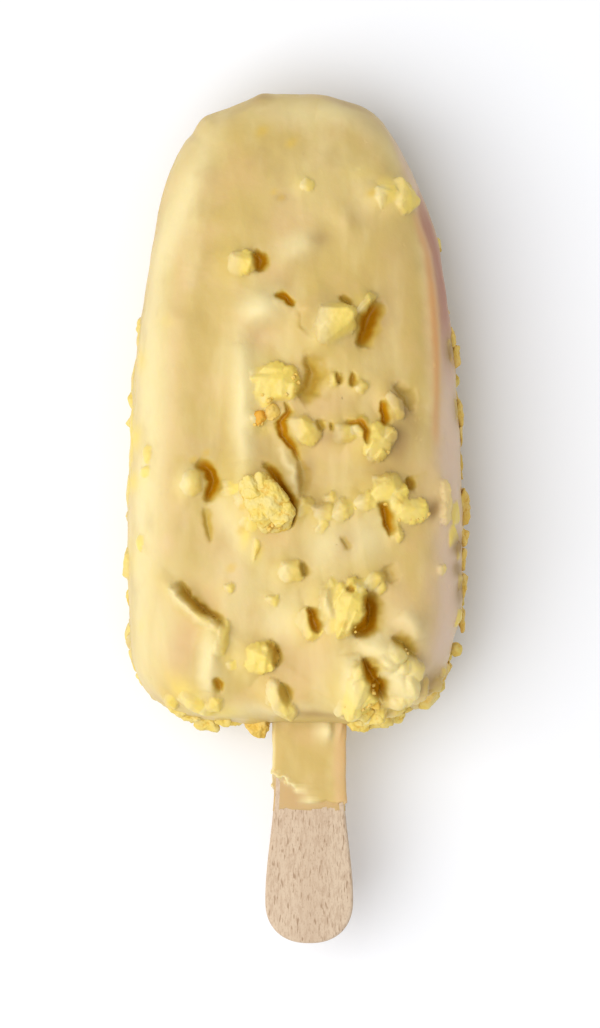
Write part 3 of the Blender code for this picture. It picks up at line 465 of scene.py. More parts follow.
class CrumbTint(Enum):
    """How a crumb departs from the lemon colour of most: its shifts towards pale and towards orange."""

    LEMON = (0.0, 0.0)
    PALE = (1.0, 0.0)
    GOLD = (0.0, 0.3)
    ORANGE = (0.0, 1.0)


# Blocks whose top shows lemon all over.
LEMON_BLOCKS = (
    "tall_nugget", "upper_nugget", "golden_nugget", "corner_chip", "slanted_nugget", "chunk_rim",
    "corner_ridge", "corner_crumb", "lower_crumb", "side_crumb", "pointing_crumb", "standing_shard",
    "grainy_slab", "split_chunk_plate", "cluster_left",
)

# Beginnings of the names of crumbs that are soft nubs under a thick coat.
SOFT_CRUMBS = ("arm_", "outer_shard", "slab_grain", "tip_bead", "lump_cap", "cluster_upper", "split_upper",
               "corner_speck", "left_speck", "shard_tail", "pit_ridge", "middle_grain")

# Crumbs with loose grains along the broken side away from the light.
FRINGED_CRUMBS = (
    "biscuit_chunk", "split_chunk_plate", "cluster_left", "side_crumb", "pointing_crumb", "standing_shard",
    "grainy_slab", "orange_bit", "arm_knob", "cluster_middle", "cluster_point", "cluster_low",
)

# Coated crumbs whose broken side also shows bare.
BARE_CRUMBS = ("orange_bit", "brown_grain", "shard_grain", "cluster_middle", "cluster_low", "cluster_right")

# Crumbs that aren't lemon, by their whole name or by their name without its last word. The crumbs on the
# right rim get GOLD as painted shade, as that side is away from the lamp; the other GOLD crumbs are
# golden of their own.
CRUMB_TINTS = {
    CrumbTint.ORANGE: ("orange_bit",),
    CrumbTint.GOLD: (
        "brown_grain", "brown_grain_low", "cluster_gold", "corner_speck_a", "corner_speck_b",
        "low_left_speck", "golden_nugget", "corner_ridge", "corner_crumb", "beside_stick", "right_low_flake",
        "right", "right_bit", "right_under", "right_side_bit", "right_corner",
    ),
    CrumbTint.PALE: (
        "shard_grain", "arm_inner", "arm_middle", "arm_low", "upright_blade", "shard_top", "arm_knob",
        "arm_knob_outer", "arm_plate", "outer_shard", "cluster_point", "right_side_chunk", "pointing_leg",
        "corner_chip",
    ),
}


def tint_of(name: str) -> CrumbTint:
    """The tint of a crumb: listed for its name without the last word, for its name, or that of its kind."""
    listed = {crumb: tint for tint, crumbs in CRUMB_TINTS.items() for crumb in crumbs}
    # Loose fringe grains sit in the shade beside their crumbs, and get GOLD as painted shade.
    usual = CrumbTint.GOLD if "_fringe_" in name else CrumbTint.LEMON
    return listed.get(name.rsplit("_", 1)[0], listed.get(name, usual))


def signed_power(value: np.ndarray, power: float) -> np.ndarray:
    """A power of the size of a number that keeps its sign."""
    return np.sign(value) * np.abs(value) ** power


def smoothstep(share: np.ndarray) -> np.ndarray:
    """An even rise from 0 to 1."""
    share = np.clip(share, 0.0, 1.0)
    return share * share * (3 - 2 * share)


def ramp(value: np.ndarray, start: float, length: float) -> np.ndarray:
    """An even rise from 0 where a value starts to 1 a length further."""
    return smoothstep((value - start) / length)


def spot(x: np.ndarray, y: np.ndarray, at_x: float, at_y: float, length: float, width: float, turn: float
         ) -> np.ndarray:
    """A soft oval spot: 1 in its middle, falling off over its half length and half width."""
    along = math.cos(math.radians(turn))
    across = math.sin(math.radians(turn))
    u = ((x - at_x) * along + (y - at_y) * across) / (length / 2)
    v = ((y - at_y) * along - (x - at_x) * across) / (width / 2)
    return np.exp(-(u * u + v * v))


def painted(x: np.ndarray, y: np.ndarray, patches: dict[str, tuple]) -> np.ndarray:
    """The strength of the strongest patch of a table at each place."""
    found = np.zeros_like(x)
    for at_x, at_y, length, width, strength, turn in patches.values():
        found = np.maximum(found, strength * spot(x, y, at_x, at_y, length, width, turn))
    return found


def heaped(x: np.ndarray, y: np.ndarray, forms: dict[str, tuple]) -> np.ndarray:
    """The heights of all forms of a table added up at each place."""
    total = np.zeros_like(np.asarray(x, float))
    for at_x, at_y, length, width, height, turn in forms.values():
        total += height * spot(x, y, at_x, at_y, length, width, turn)
    return total


def deselect_all() -> None:
    """Leaves edit mode and clears the selection, so that the next operator acts on new pieces alone."""
    if bpy.context.object and bpy.context.object.mode != "OBJECT":
        bpy.ops.object.mode_set(mode="OBJECT")
    bpy.ops.object.select_all(action="DESELECT")


def fractal_noise(points: np.ndarray, size: float, octaves: int, shift: float = 0.0) -> np.ndarray:
    """Smooth noise from about -1 to 1.

    Args:
        points: places in millimetres, one row each.
        size: length of the largest waves, in millimetres.
        octaves: number of finer layers.
        shift: moves the pattern, so that two calls differ.

    Returns:
        One value for each place.
    """
    offset = Vector((shift, shift * 2, -shift))
    return np.array([noise.fractal(Vector(p) / size + offset, 1.0, 2.0, octaves) for p in points])


def cell_noise(points: np.ndarray, size: float) -> np.ndarray:
    """Rounded grains: 1 in the middle of a grain, near 0 between grains."""
    return np.array([1.0 - min(1.0, noise.voronoi(Vector(p) / size)[0][0] * 1.3) for p in points])


class NodeBook:
    """Adds shader nodes to one material and links them."""

    def __init__(self, name: str) -> None:
        """Starts a material with only its Principled shader."""
        self.material = bpy.data.materials.new(name)
        self.material.use_nodes = True
        self.nodes = self.material.node_tree.nodes
        self.links = self.material.node_tree.links
        self.shader = self.nodes["Principled BSDF"]
        self.place = self.nodes.new("ShaderNodeTexCoord").outputs["Object"]

    def value(self, socket: str, value: float | tuple) -> None:
        """Sets a constant on the shader's own socket."""
        self.shader.inputs[socket].default_value = value

    def attribute(self, name: str) -> Socket:
        """The value that the mesh carries at each point under a name."""
        node = self.nodes.new("ShaderNodeAttribute")
        node.attribute_name = name
        return node.outputs["Fac"]

    def mapped(self, scale: tuple[float, float, float]) -> Socket:
        """Object coordinates stretched by a scale."""
        node = self.nodes.new("ShaderNodeMapping")
        node.inputs["Scale"].default_value = scale
        self.links.new(self.place, node.inputs["Vector"])
        return node.outputs["Vector"]

    def noise(self, vector: Socket, scale: float, detail: float = 3.0) -> Socket:
        """Smooth noise around 0.5 at a number of waves per metre."""
        node = self.nodes.new("ShaderNodeTexNoise")
        node.inputs["Scale"].default_value = scale
        node.inputs["Detail"].default_value = detail
        self.links.new(vector, node.inputs["Vector"])
        return node.outputs["Fac"]

    def grains(self, vector: Socket, scale: float) -> Socket:
        """Distance from the nearest grain's middle."""
        node = self.nodes.new("ShaderNodeTexVoronoi")
        node.inputs["Scale"].default_value = scale
        self.links.new(vector, node.inputs["Vector"])
        return node.outputs["Distance"]

    def remap(self, source: Socket, low: float, high: float, top: float = 1.0) -> Socket:
        """A smooth ramp of a value from 0 at low to top at high."""
        node = self.nodes.new("ShaderNodeMapRange")
        node.interpolation_type = "SMOOTHSTEP"
        node.inputs["From Min"].default_value = low
        node.inputs["From Max"].default_value = high
        node.inputs["To Max"].default_value = top
        self.links.new(source, node.inputs["Value"])
        return node.outputs["Result"]

    def math(self, operation: str, first: Socket, second: Socket | float) -> Socket:
        """One arithmetic step on a value."""
        node = self.nodes.new("ShaderNodeMath")
        node.operation = operation
        self.links.new(first, node.inputs[0])
        if isinstance(second, float):
            node.inputs[1].default_value = second
        else:
            self.links.new(second, node.inputs[1])
        return node.outputs[0]

    def one(self) -> Socket:
        """The value 1."""
        node = self.nodes.new("ShaderNodeValue")
        node.outputs[0].default_value = 1.0
        return node.outputs[0]

    def layers(self, base: Colour, steps: list[tuple[Socket, Colour]]) -> Socket:
        """Colours laid over a base in turn, each by its own amount."""
        below = None
        for amount, top in steps:
            node = self.nodes.new("ShaderNodeMix")
            node.data_type = "RGBA"
            self.links.new(amount, node.inputs["Factor"])
            colours = {socket.name: socket for socket in node.inputs if socket.type == "RGBA"}
            colours["A"].default_value = (*base, 1.0)
            colours["B"].default_value = (*top, 1.0)
            if below:
                self.links.new(below, colours["A"])
            below = next(socket for socket in node.outputs if socket.type == "RGBA")
        return below

    def colour(self, source: Socket) -> None:
        """Gives the shader its base colour."""
        self.links.new(source, self.shader.inputs["Base Color"])

    def bump(self, height: Socket, depth: float, strength: float = 1.0) -> None:
        """Adds fine relief, its depth in metres."""
        node = self.nodes.new("ShaderNodeBump")
        node.inputs["Distance"].default_value = depth
        node.inputs["Strength"].default_value = strength
        self.links.new(height, node.inputs["Height"])
        self.links.new(node.outputs["Normal"], self.shader.inputs["Normal"])


@dataclass(frozen=True)
class CoatingFinish:
    """Set cream coating: pale yellow and waxy, creamier on crests, peach where thin, amber in cracks.

    The amber of the cracks, the dull brown of hollows and the mauve and tan of the right flank are painted
    shade; the cream along the left rim is partly painted light.
    """

    gold: Colour = (0.62, 0.445, 0.14)
    cream: Colour = (0.83, 0.70, 0.36)
    lemon: Colour = (0.86, 0.66, 0.13)
    peach: Colour = (0.71, 0.47, 0.22)
    flank_mauve_shade: Colour = (0.76, 0.56, 0.39)
    tan: Colour = (0.41, 0.145, 0.08)
    crack_shade_edge: Colour = (0.56, 0.385, 0.065)
    crack_shade: Colour = (0.50, 0.225, 0.0)
    shade_and_stain: Colour = (0.43, 0.27, 0.10)
    speck: Colour = (0.72, 0.48, 0.08)
    line: Colour = (0.72, 0.36, 0.13)
    scatter: float = 0.25
    scatter_depth: float = 1.0 * MM
    roughness: float = 0.42

    def material(self) -> bpy.types.Material:
        """Builds the material."""
        book = NodeBook("cream_coating")
        mottle = book.noise(book.place, 160.0, 4.0)
        streaks = book.noise(book.mapped((230.0, 60.0, 230.0)), 1.0, 3.0)
        shade = book.noise(book.mapped((210.0, 130.0, 210.0)), 1.0, 3.0)
        lemon = book.math("MULTIPLY", book.attribute("lemon_patch"), book.remap(mottle, 0.3, 0.6))
        depth = book.attribute("crack_shade")
        book.colour(book.layers(self.gold, [
            (book.remap(mottle, 0.45, 0.66, 0.35), self.peach),
            (book.remap(streaks, 0.42, 0.70, 0.35), self.cream),
            # Painted shade of the right flank: mauve where it turns away from the lamp, tan beyond the line.
            (book.attribute("flank"), self.flank_mauve_shade),
            (book.attribute("peach"), self.peach),
            (book.attribute("tan"), self.tan),
            # Creamy patches, and painted light along the left rim that faces the lamp.
            (book.attribute("cream_and_painted_light"), self.cream),
            (book.remap(shade, 0.50, 0.74, 0.22), self.shade_and_stain),
            (lemon, self.lemon),
            (book.attribute("lemon"), self.lemon),
            (book.attribute("cream"), self.cream),
            (book.attribute("line"), self.line),
            # Painted shade in hollows, beside crumbs and on the shaded right rim.
            (book.attribute("shade_and_stain"), self.shade_and_stain),
            (book.remap(book.attribute("speck"), 0.0, 1.0, 0.6), self.speck),
            # Painted shade in the cracks: honey at their edges, amber at their bottom.
            (book.remap(depth, 0.0, 0.62), self.crack_shade_edge),
            (book.remap(depth, 0.45, 0.95), self.crack_shade),
        ]))
        book.value("Subsurface Weight", self.scatter)
        book.value("Subsurface Radius", (1.0, 0.62, 0.22))
        book.value("Subsurface Scale", self.scatter_depth)
        book.value("Specular IOR Level", 0.28)
        book.value("Roughness", self.roughness)
        book.bump(book.noise(book.place, 1400.0, 4.0), 0.05 * MM, 0.5)
        return book.material


@dataclass(frozen=True)
class CrumbFinish:
    """Chopped crumbs: lemon yellow, pale where they stand out, golden in their hollows.

    The pale of the raised and lit grains is painted light, the gold of the hollows and of the side away
    from the lamp painted shade.
    """

    lemon: Colour = (0.80, 0.60, 0.12)
    pale: Colour = (0.81, 0.66, 0.25)
    gold: Colour = (0.72, 0.43, 0.05)
    orange: Colour = (0.78, 0.38, 0.03)
    roughness: float = 0.6

    def material(self) -> bpy.types.Material:
        """Builds the material."""
        book = NodeBook("lemon_crumb")
        grains = book.grains(book.place, 2300.0)
        painted_light = book.attribute("painted_light")
        clots = book.noise(book.place, 520.0)
        sunk = book.math("SUBTRACT", book.one(), painted_light)
        # Painted light and shade: pale on raised, lit grains, gold where sunk or turned away from the lamp.
        book.colour(book.layers(self.lemon, [
            (book.remap(painted_light, 0.50, 0.95, 0.75), self.pale),
            (book.remap(clots, 0.38, 0.66, 0.7), self.pale),
            (book.attribute("pale"), self.pale),
            (book.attribute("orange"), self.orange),
            (book.remap(sunk, 0.50, 0.85, 0.9), self.gold),
        ]))
        book.value("Roughness", self.roughness)
        book.value("Specular IOR Level", 0.4)
        book.bump(grains, 0.12 * MM, 0.6)
        return book.material


@dataclass(frozen=True)
class WoodFinish:
    """Pale close-grained wood with short darker flecks along it."""

    light: Colour = (0.69, 0.54, 0.39)
    dark: Colour = (0.53, 0.38, 0.26)
    fleck: Colour = (0.36, 0.23, 0.14)
    roughness: float = 0.72

    def material(self) -> bpy.types.Material:
        """Builds the material."""
        book = NodeBook("pale_wood")
        broad = book.noise(book.mapped((260.0, 14.0, 260.0)), 1.0, 3.0)
        fibres = book.noise(book.mapped((3400.0, 900.0, 3400.0)), 1.0, 5.0)
        flecks = book.noise(book.mapped((4000.0, 900.0, 4000.0)), 1.0, 0.5)
        pores = book.noise(book.mapped((6000.0, 2600.0, 6000.0)), 1.0, 2.0)
        book.colour(book.layers(self.light, [
            (book.remap(broad, 0.35, 0.70, 0.45), self.dark),
            (book.remap(fibres, 0.42, 0.64, 0.7), self.dark),
            (book.remap(pores, 0.54, 0.72, 0.4), self.fleck),
            (book.remap(flecks, 0.64, 0.76, 0.8), self.fleck),
        ]))
        book.value("Roughness", self.roughness)
        book.value("Specular IOR Level", 0.3)
        book.bump(fibres, 0.06 * MM, 0.7)
        return book.material


@dataclass(frozen=True)
class FloorFinish:
    """A matt white table top."""

    white: Colour = (0.92, 0.93, 0.96)

    def material(self) -> bpy.types.Material:
        """Builds the material."""
        book = NodeBook("white_table")
        book.value("Base Color", (*self.white, 1.0))
        book.value("Roughness", 0.9)
        book.value("Specular IOR Level", 0.1)
        return book.material


@dataclass
class LollyForm:
    """The smooth ice cream: an outline, a section and the broad forms of its face, all in millimetres."""

    tip_y: float = 59.0
    widest_y: float = -5.8
    base_y: float = -28.4
    half_width: float = 23.2
    side_power: float = 3.4
    tip_power: float = 2.2
    base_power: float = 5.0
    half_thickness: float = 12.2
    face_power: float = 1.7
    edge_power: float = 2.1
    foot_depth: float = 0.35
    tip_lean: float = -0.7
    tip_lean_y: tuple[float, float] = (38.0, 12.0)
    corner_lean: float = -1.5
    corner_lean_x: tuple[float, float] = (6.0, 14.0)
    corner_lean_y: tuple[float, float] = (12.0, 11.0)
    slope_step: float = 0.2
    turn_step: float = 0.01

    @property
    def middle_z(self) -> float:
        """Height of the middle plane over the table."""
        return self.half_thickness - self.foot_depth

    def end_level(self, y: np.ndarray) -> np.ndarray:
        """0 at the widest level, 1 at the tip and at the base."""
        offset = np.asarray(y, float) - self.widest_y
        up = np.clip(offset / (self.tip_y - self.widest_y), 0, None) ** self.tip_power
        down = np.clip(-offset / (self.widest_y - self.base_y), 0, None) ** self.base_power
        return up + down

    def width_at(self, y: np.ndarray) -> np.ndarray:
        """Half the width of the outline at a level."""
        return self.half_width * np.clip(1 - self.end_level(y), 0, None) ** (1 / self.side_power)

    def thickness_at(self, x: np.ndarray, y: np.ndarray) -> np.ndarray:
        """Height of the smooth shell over its middle plane."""
        level = (np.abs(x) / self.half_width) ** self.side_power + self.end_level(y)
        return self.half_thickness * np.clip(1 - level**self.face_power, 0, None) ** (1 / self.edge_power)

    def outline_point(self, angle: np.ndarray, level: float = 1.0) -> tuple[np.ndarray, np.ndarray]:
        """A point of the outline, or of the same outline drawn at a level inside it."""
        sine = np.sin(angle)
        up = (self.tip_y - self.widest_y) * (np.clip(sine, 0, None) ** 2 * level) ** (1 / self.tip_power)
        down = (self.widest_y - self.base_y) * (np.clip(-sine, 0, None) ** 2 * level) ** (1 / self.base_power)
        across = self.half_width * signed_power(np.cos(angle), 2 / self.side_power)
        return across * level ** (1 / self.side_power), self.widest_y + up - down

    def lean(self, x: np.ndarray, y: np.ndarray) -> np.ndarray:
        """How far a point is drawn over to the left, at the tip and at the corner right of the stick."""
        tip = self.tip_lean * ramp(y, *self.tip_lean_y)
        return tip + self.corner_lean * ramp(x, *self.corner_lean_x) * ramp(-y, *self.corner_lean_y)

    def relief(self, x: np.ndarray, y: np.ndarray) -> np.ndarray:
        """Height that the broad forms add to the face."""
        return heaped(x, y, FACE_FORMS) * self.thickness_at(x - self.lean(x, y), y) / self.half_thickness

    def face_frame(self, x: float, y: float, turn: float, side: int = 1) -> Matrix:
        """A frame on the face (side 1) or on the back (side -1), its X turned from +X."""
        step = self.slope_step
        base = x - float(self.lean(x, y))
        slope_x = (self.thickness_at(base + step, y) - self.thickness_at(base - step, y)) / (2 * step)
        slope_y = (self.thickness_at(base, y + step) - self.thickness_at(base, y - step)) / (2 * step)
        lift = float(self.relief(x, y)) if side > 0 else 0.0
        point = Vector((x, y, self.middle_z + side * float(self.thickness_at(base, y)) + lift))
        return frame_at(point, Vector((-slope_x, -slope_y, side)), turn)

    def rim_frame(self, angle: float, lift: float) -> Matrix:
        """A frame on the rolled edge at an outline angle, lifted from the middle plane."""
        level = (1 - (abs(lift) / self.half_thickness) ** self.edge_power) ** (1 / self.face_power)
        x, y = self.outline_point(angle, level)
        ahead = self.outline_point(angle + self.turn_step, level)
        behind = self.outline_point(angle - self.turn_step, level)
        along = Vector((ahead[0] - behind[0], ahead[1] - behind[1])).normalized()
        outward = Vector((along.y, -along.x, lift / self.half_thickness))
        point = Vector((x + float(self.lean(x, y)), y, self.middle_z + lift))
        return frame_at(point, outward, math.atan2(along.y, along.x))

    def side_angle(self, side: int, y: float) -> float:
        """The outline angle of a place on the left (-1) or the right side (1)."""
        offset = y - self.widest_y
        length = self.tip_y - self.widest_y if offset >= 0 else self.widest_y - self.base_y
        power = self.tip_power if offset >= 0 else self.base_power
        angle = math.asin(math.copysign(abs(offset / length) ** (power / 2), offset))
        return angle if side > 0 else math.pi - angle

    def base_angle(self, x: float) -> float:
        """The outline angle of a place on the end round the stick."""
        return -math.acos(math.copysign(abs(x / self.half_width) ** (self.side_power / 2), x))


def frame_at(point: Vector, normal: Vector, turn: float) -> Matrix:
    """A matrix that stands a piece on the shell: its Z along the normal, its X turned from +X."""
    along = Vector((math.cos(turn), math.sin(turn), 0))
    z_axis = normal.normalized()
    y_axis = z_axis.cross(along).normalized()
    x_axis = y_axis.cross(z_axis)
    turned = Matrix((x_axis, y_axis, z_axis)).transposed().to_4x4()
    return Matrix.Translation(point) @ turned


@dataclass(frozen=True)
class Crumb:
    """One crumb: its frame on the shell and its size in millimetres."""

    name: str
    matrix: Matrix
    length: float
    width: float
    height: float
    corners: int
    rough: bool = False
    mound: float = 1.0
    coated: bool = False
    lemon: float = 0.7


@dataclass
class CrumbLayout:
    """Where every crumb of the lolly sits, by the same rules as the solids."""

    form: LollyForm
    corners: int = 13
    bit_corners: int = 9
    rim_corners: int = 8
    small_mound: float = 0.5
    bit_mound: float = 0.6
    rim_mound: float = 0.45
    coated_from: float = 1.75
    grains: int = 4
    grain_sizes: tuple[float, float] = (0.32, 0.46)
    grain_reach: float = 0.36
    back_count: int = 36
    back_seed: int = 7
    back_sizes: tuple[float, float] = (1.8, 4.2)
    back_reach: tuple[float, float] = (0.25, 0.92)
    back_clearance: float = 0.35
    rim_share: tuple[float, float] = (0.4, 0.65)
    flank_count: int = 44
    flank_seed: int = 11
    flank_sizes: tuple[float, float] = (1.4, 3.4)
    flank_lifts: tuple[float, float] = (-9.2, -2.2)
    fringe_share: float = 3.5
    fringe_arc: tuple[float, float] = (-150.0, 30.0)
    fringe_sizes: tuple[float, float] = (0.35, 0.75)

    def face(self) -> list[Crumb]:
        """Crumbs and bits on the face."""
        found = []
        for name, (x, y, length, width, height, turn) in FACE_CRUMBS.items():
            matrix = self.form.face_frame(x, y, math.radians(turn))
            lemon = 0.8 if name in LEMON_BLOCKS else 0.6
            found.append(Crumb(name, matrix, length, width, height, self.corners, coated=True, lemon=lemon))
        for name, (x, y, length, width, height, turn) in SMALL_CRUMBS.items():
            matrix = self.form.face_frame(x, y, math.radians(turn))
            found.append(Crumb(name, matrix, length, width, height, self.bit_corners, mound=self.small_mound,
                               coated=length > self.coated_from))
        for name, values in ROUGH_CRUMBS.items():
            found += self.rough(name, name in LEMON_BLOCKS, *values)
        for name, (x, y, size) in FACE_BITS.items():
            matrix = self.form.face_frame(x, y, x * MM)
            found.append(Crumb(name, matrix, size, size * 0.8, size * 0.5, self.bit_corners,
                               mound=self.bit_mound, coated=True))
        for crumb in [crumb for crumb in found if crumb.name in FRINGED_CRUMBS]:
            found += self.fringe(crumb)
        return found

    def fringe(self, crumb: Crumb) -> list[Crumb]:
        """Loose grains along a crumb's foot on the side away from the light."""
        draw = random.Random(crumb.name)
        turned = crumb.matrix.to_3x3().transposed()
        found = []
        for i in range(round(self.fringe_share * crumb.length)):
            spin = math.radians(draw.uniform(*self.fringe_arc))
            way = turned @ Vector((math.cos(spin), math.sin(spin), 0.0))
            level = abs(way.x * 2 / crumb.length) ** FOOTPRINT_POWER
            level += abs(way.y * 2 / crumb.width) ** FOOTPRINT_POWER
            at = way * level ** (-1 / FOOTPRINT_POWER) * draw.uniform(0.7, 0.98)
            at.z = crumb.height * draw.uniform(0.1, 0.45)
            size = draw.uniform(*self.fringe_sizes)
            found.append(Crumb(f"{crumb.name}_fringe_{i}", crumb.matrix @ Matrix.Translation(at), size,
                               size * 0.85, size * 0.7, self.bit_corners, rough=True, mound=0.0))
        return found

    def rough(self, name: str, coated: bool, x: float, y: float, length: float, width: float, height: float,
              turn: float) -> list[Crumb]:
        """A chunk with smaller grains on its upper side, or one broken into plates under the coating."""
        draw = random.Random(name)
        matrix = self.form.face_frame(x, y, math.radians(turn))
        found = [Crumb(name, matrix, length, width, height, self.corners, rough=True, coated=coated,
                       lemon=0.9)]
        for i in range(self.grains):
            spin = 2 * math.pi * (i + draw.random()) / self.grains
            size = length * draw.uniform(*self.grain_sizes)
            lift = 0.0 if coated else height * 0.5
            out = self.grain_reach
            at = Vector((math.cos(spin) * length * out, math.sin(spin) * width * out, lift))
            tall = height * draw.uniform(0.7, 1.15) if coated else size * 0.36
            grow = 1.25 if coated else 1.0
            found.append(Crumb(f"{name}_{i}", matrix @ Matrix.Translation(at), size * grow,
                               size * 0.8 * grow, tall, self.bit_corners, rough=True, mound=0.0,
                               coated=coated, lemon=0.9))
        return found

    def rim(self) -> list[Crumb]:
        """Crumbs on the two sides and on the end round the stick."""
        found = []
        for name, (side, y, lift, length, width, height) in SIDE_CRUMBS.items():
            matrix = self.form.rim_frame(self.form.side_angle(side, y), lift)
            flat = height * (1.0 if name in PROUD_CRUMBS else self.rim_share[side > 0])
            found.append(Crumb(name, matrix, length, width, flat, self.rim_corners, rough=True,
                               mound=self.rim_mound, coated=side < 0 or "side" in name,
                               lemon=0.9 if side > 0 else 0.55))
        for name, (x, lift, length, width, height) in BASE_CRUMBS.items():
            matrix = self.form.rim_frame(self.form.base_angle(x), lift)
            found.append(Crumb(name, matrix, length, width, height, self.rim_corners, rough=True,
                               mound=self.rim_mound))
        return found

    def flank(self) -> list[Crumb]:
        """Small crumbs scattered under the rim, more of them towards the stick."""
        form = self.form
        draw = random.Random(self.flank_seed)
        found = []
        for i in range(self.flank_count):
            side = draw.choice((-1, 1))
            y = draw.triangular(form.base_y + 2, 46.0, form.base_y + 4)
            matrix = form.rim_frame(form.side_angle(side, y), draw.uniform(*self.flank_lifts))
            matrix = matrix @ Matrix.Rotation(draw.uniform(0, math.pi), 4, "Z")
            length = draw.uniform(*self.flank_sizes)
            coated = draw.random() < 0.6
            found.append(Crumb(f"flank_crumb_{i:02d}", matrix, length, length * 0.75, length * 0.34,
                               self.rim_corners, rough=True, mound=self.rim_mound, coated=coated, lemon=0.4))
        return found

    def back(self) -> list[Crumb]:
        """Crumbs scattered over the back, more of them towards the stick."""
        form = self.form
        draw = random.Random(self.back_seed)
        found: list[Crumb] = []
        while len(found) < self.back_count:
            x, y = form.outline_point(draw.uniform(0, 2 * math.pi), draw.uniform(*self.back_reach))
            lowest = draw.triangular(form.base_y, form.tip_y, form.base_y)
            length = draw.uniform(*self.back_sizes)
            turn = draw.uniform(0, math.pi)
            height = min(length * 0.45, form.middle_z - float(form.thickness_at(x, y)) - self.back_clearance)
            if y > lowest or height < 0.5:
                continue
            matrix = form.face_frame(float(x), float(y), turn, side=-1)
            name = f"back_crumb_{len(found):02d}"
            found.append(Crumb(name, matrix, length, length * 0.75, height, self.corners,
                               mound=self.rim_mound))
        return found


def read_points(mesh: bpy.types.Mesh) -> np.ndarray:
    """The places of a mesh's points, one row each."""
    where = np.empty(len(mesh.vertices) * 3)
    mesh.vertices.foreach_get("co", where)
    return where.reshape(-1, 3)


def place_points(mesh: bpy.types.Mesh, points: np.ndarray, marks: dict[str, np.ndarray]) -> None:
    """Moves the points of a mesh and stores values on them.

    Args:
        mesh: the mesh to change.
        points: the new places in millimetres, one row each.
        marks: names that the material reads, each with one value for each point.
    """
    mesh.vertices.foreach_set("co", (points * MM).ravel())
    mesh.update()
    for mark, values in marks.items():
        attribute = mesh.attributes.new(mark, "FLOAT", "POINT")
        attribute.data.foreach_set("value", values.astype(np.float32))


def wrapped_sphere(name: str, points: np.ndarray, poles: np.ndarray, marks: dict[str, np.ndarray]
                   ) -> bpy.types.Object:
    """A UV sphere whose points are drawn onto a closed form.

    Args:
        name: the new object's name.
        points: rings by columns by 3, in millimetres, from the first pole to the second.
        poles: the two end points.
        marks: grids of values, rings by columns, stored on the points for the material.

    Returns:
        The object, its mesh in metres.
    """
    rings, columns = points.shape[:2]
    deselect_all()
    bpy.ops.mesh.primitive_uv_sphere_add(segments=columns, ring_count=rings + 1, radius=1.0)
    piece = bpy.context.object
    piece.name = name
    mesh = piece.data
    mesh.name = name
    x, y, z = read_points(mesh).T
    ring = np.rint(np.arctan2(np.hypot(x, y), z) / math.pi * (rings + 1)).astype(int)
    column = np.rint(np.arctan2(y, x) / (2 * math.pi) * columns).astype(int) % columns
    inner = np.clip(ring - 1, 0, rings - 1)
    new = points[inner, column]
    new[ring == 0] = poles[0]
    new[ring == rings + 1] = poles[1]
    place_points(mesh, new, {mark: grid[inner, column] for mark, grid in marks.items()})
    bpy.ops.object.shade_smooth()
    return piece


def surface_normals(points: np.ndarray) -> np.ndarray:
    """Outward directions of a grid of rings and columns that closes round its columns."""
    along = np.gradient(points, axis=0)
    around = np.roll(points, -1, axis=1) - np.roll(points, 1, axis=1)
    out = np.cross(along, around)
    out /= np.maximum(np.linalg.norm(out, axis=2, keepdims=True), 1e-9)
    return out


def along_polyline(x: np.ndarray, y: np.ndarray, points: tuple
                   ) -> tuple[np.ndarray, np.ndarray, np.ndarray]:
    """Distance from a line of points, the side of it, and the share of its length reached.

    Args:
        x: places across, in millimetres.
        y: places along.
        points: the line's points, from its upper end down.

    Returns:
        The distance, the side from -1 on the left to 1 on the right, even round the ends, and the share
        from 0 at the first point to 1 at the last.
    """
    points = np.array(points, float)
    lengths = np.linalg.norm(np.diff(points, axis=0), axis=1)
    walked = np.concatenate([[0.0], np.cumsum(lengths)])
    best = np.full(x.shape, 1e9)
    side = np.zeros(x.shape)
    share = np.zeros(x.shape)
    for i, length in enumerate(lengths):
        (x0, y0), (x1, y1) = points[i], points[i + 1]
        step_x, step_y = (x1 - x0) / length, (y1 - y0) / length
        t = np.clip((x - x0) * step_x + (y - y0) * step_y, 0, length)
        off_x, off_y = x - x0 - t * step_x, y - y0 - t * step_y
        distance = np.hypot(off_x, off_y)
        closer = distance < best
        best = np.where(closer, distance, best)
        side = np.where(closer, (off_y * step_x - off_x * step_y) / np.maximum(distance, 1e-6), side)
        share = np.where(closer, (walked[i] + t) / walked[-1], share)
    return best, side, share


def tapered(share: np.ndarray) -> np.ndarray:
    """Full along the middle of a line and shallow at both of its ends."""
    return np.clip(4 * share * (1 - share), 0, 1) ** 0.5 * 0.85 + 0.15


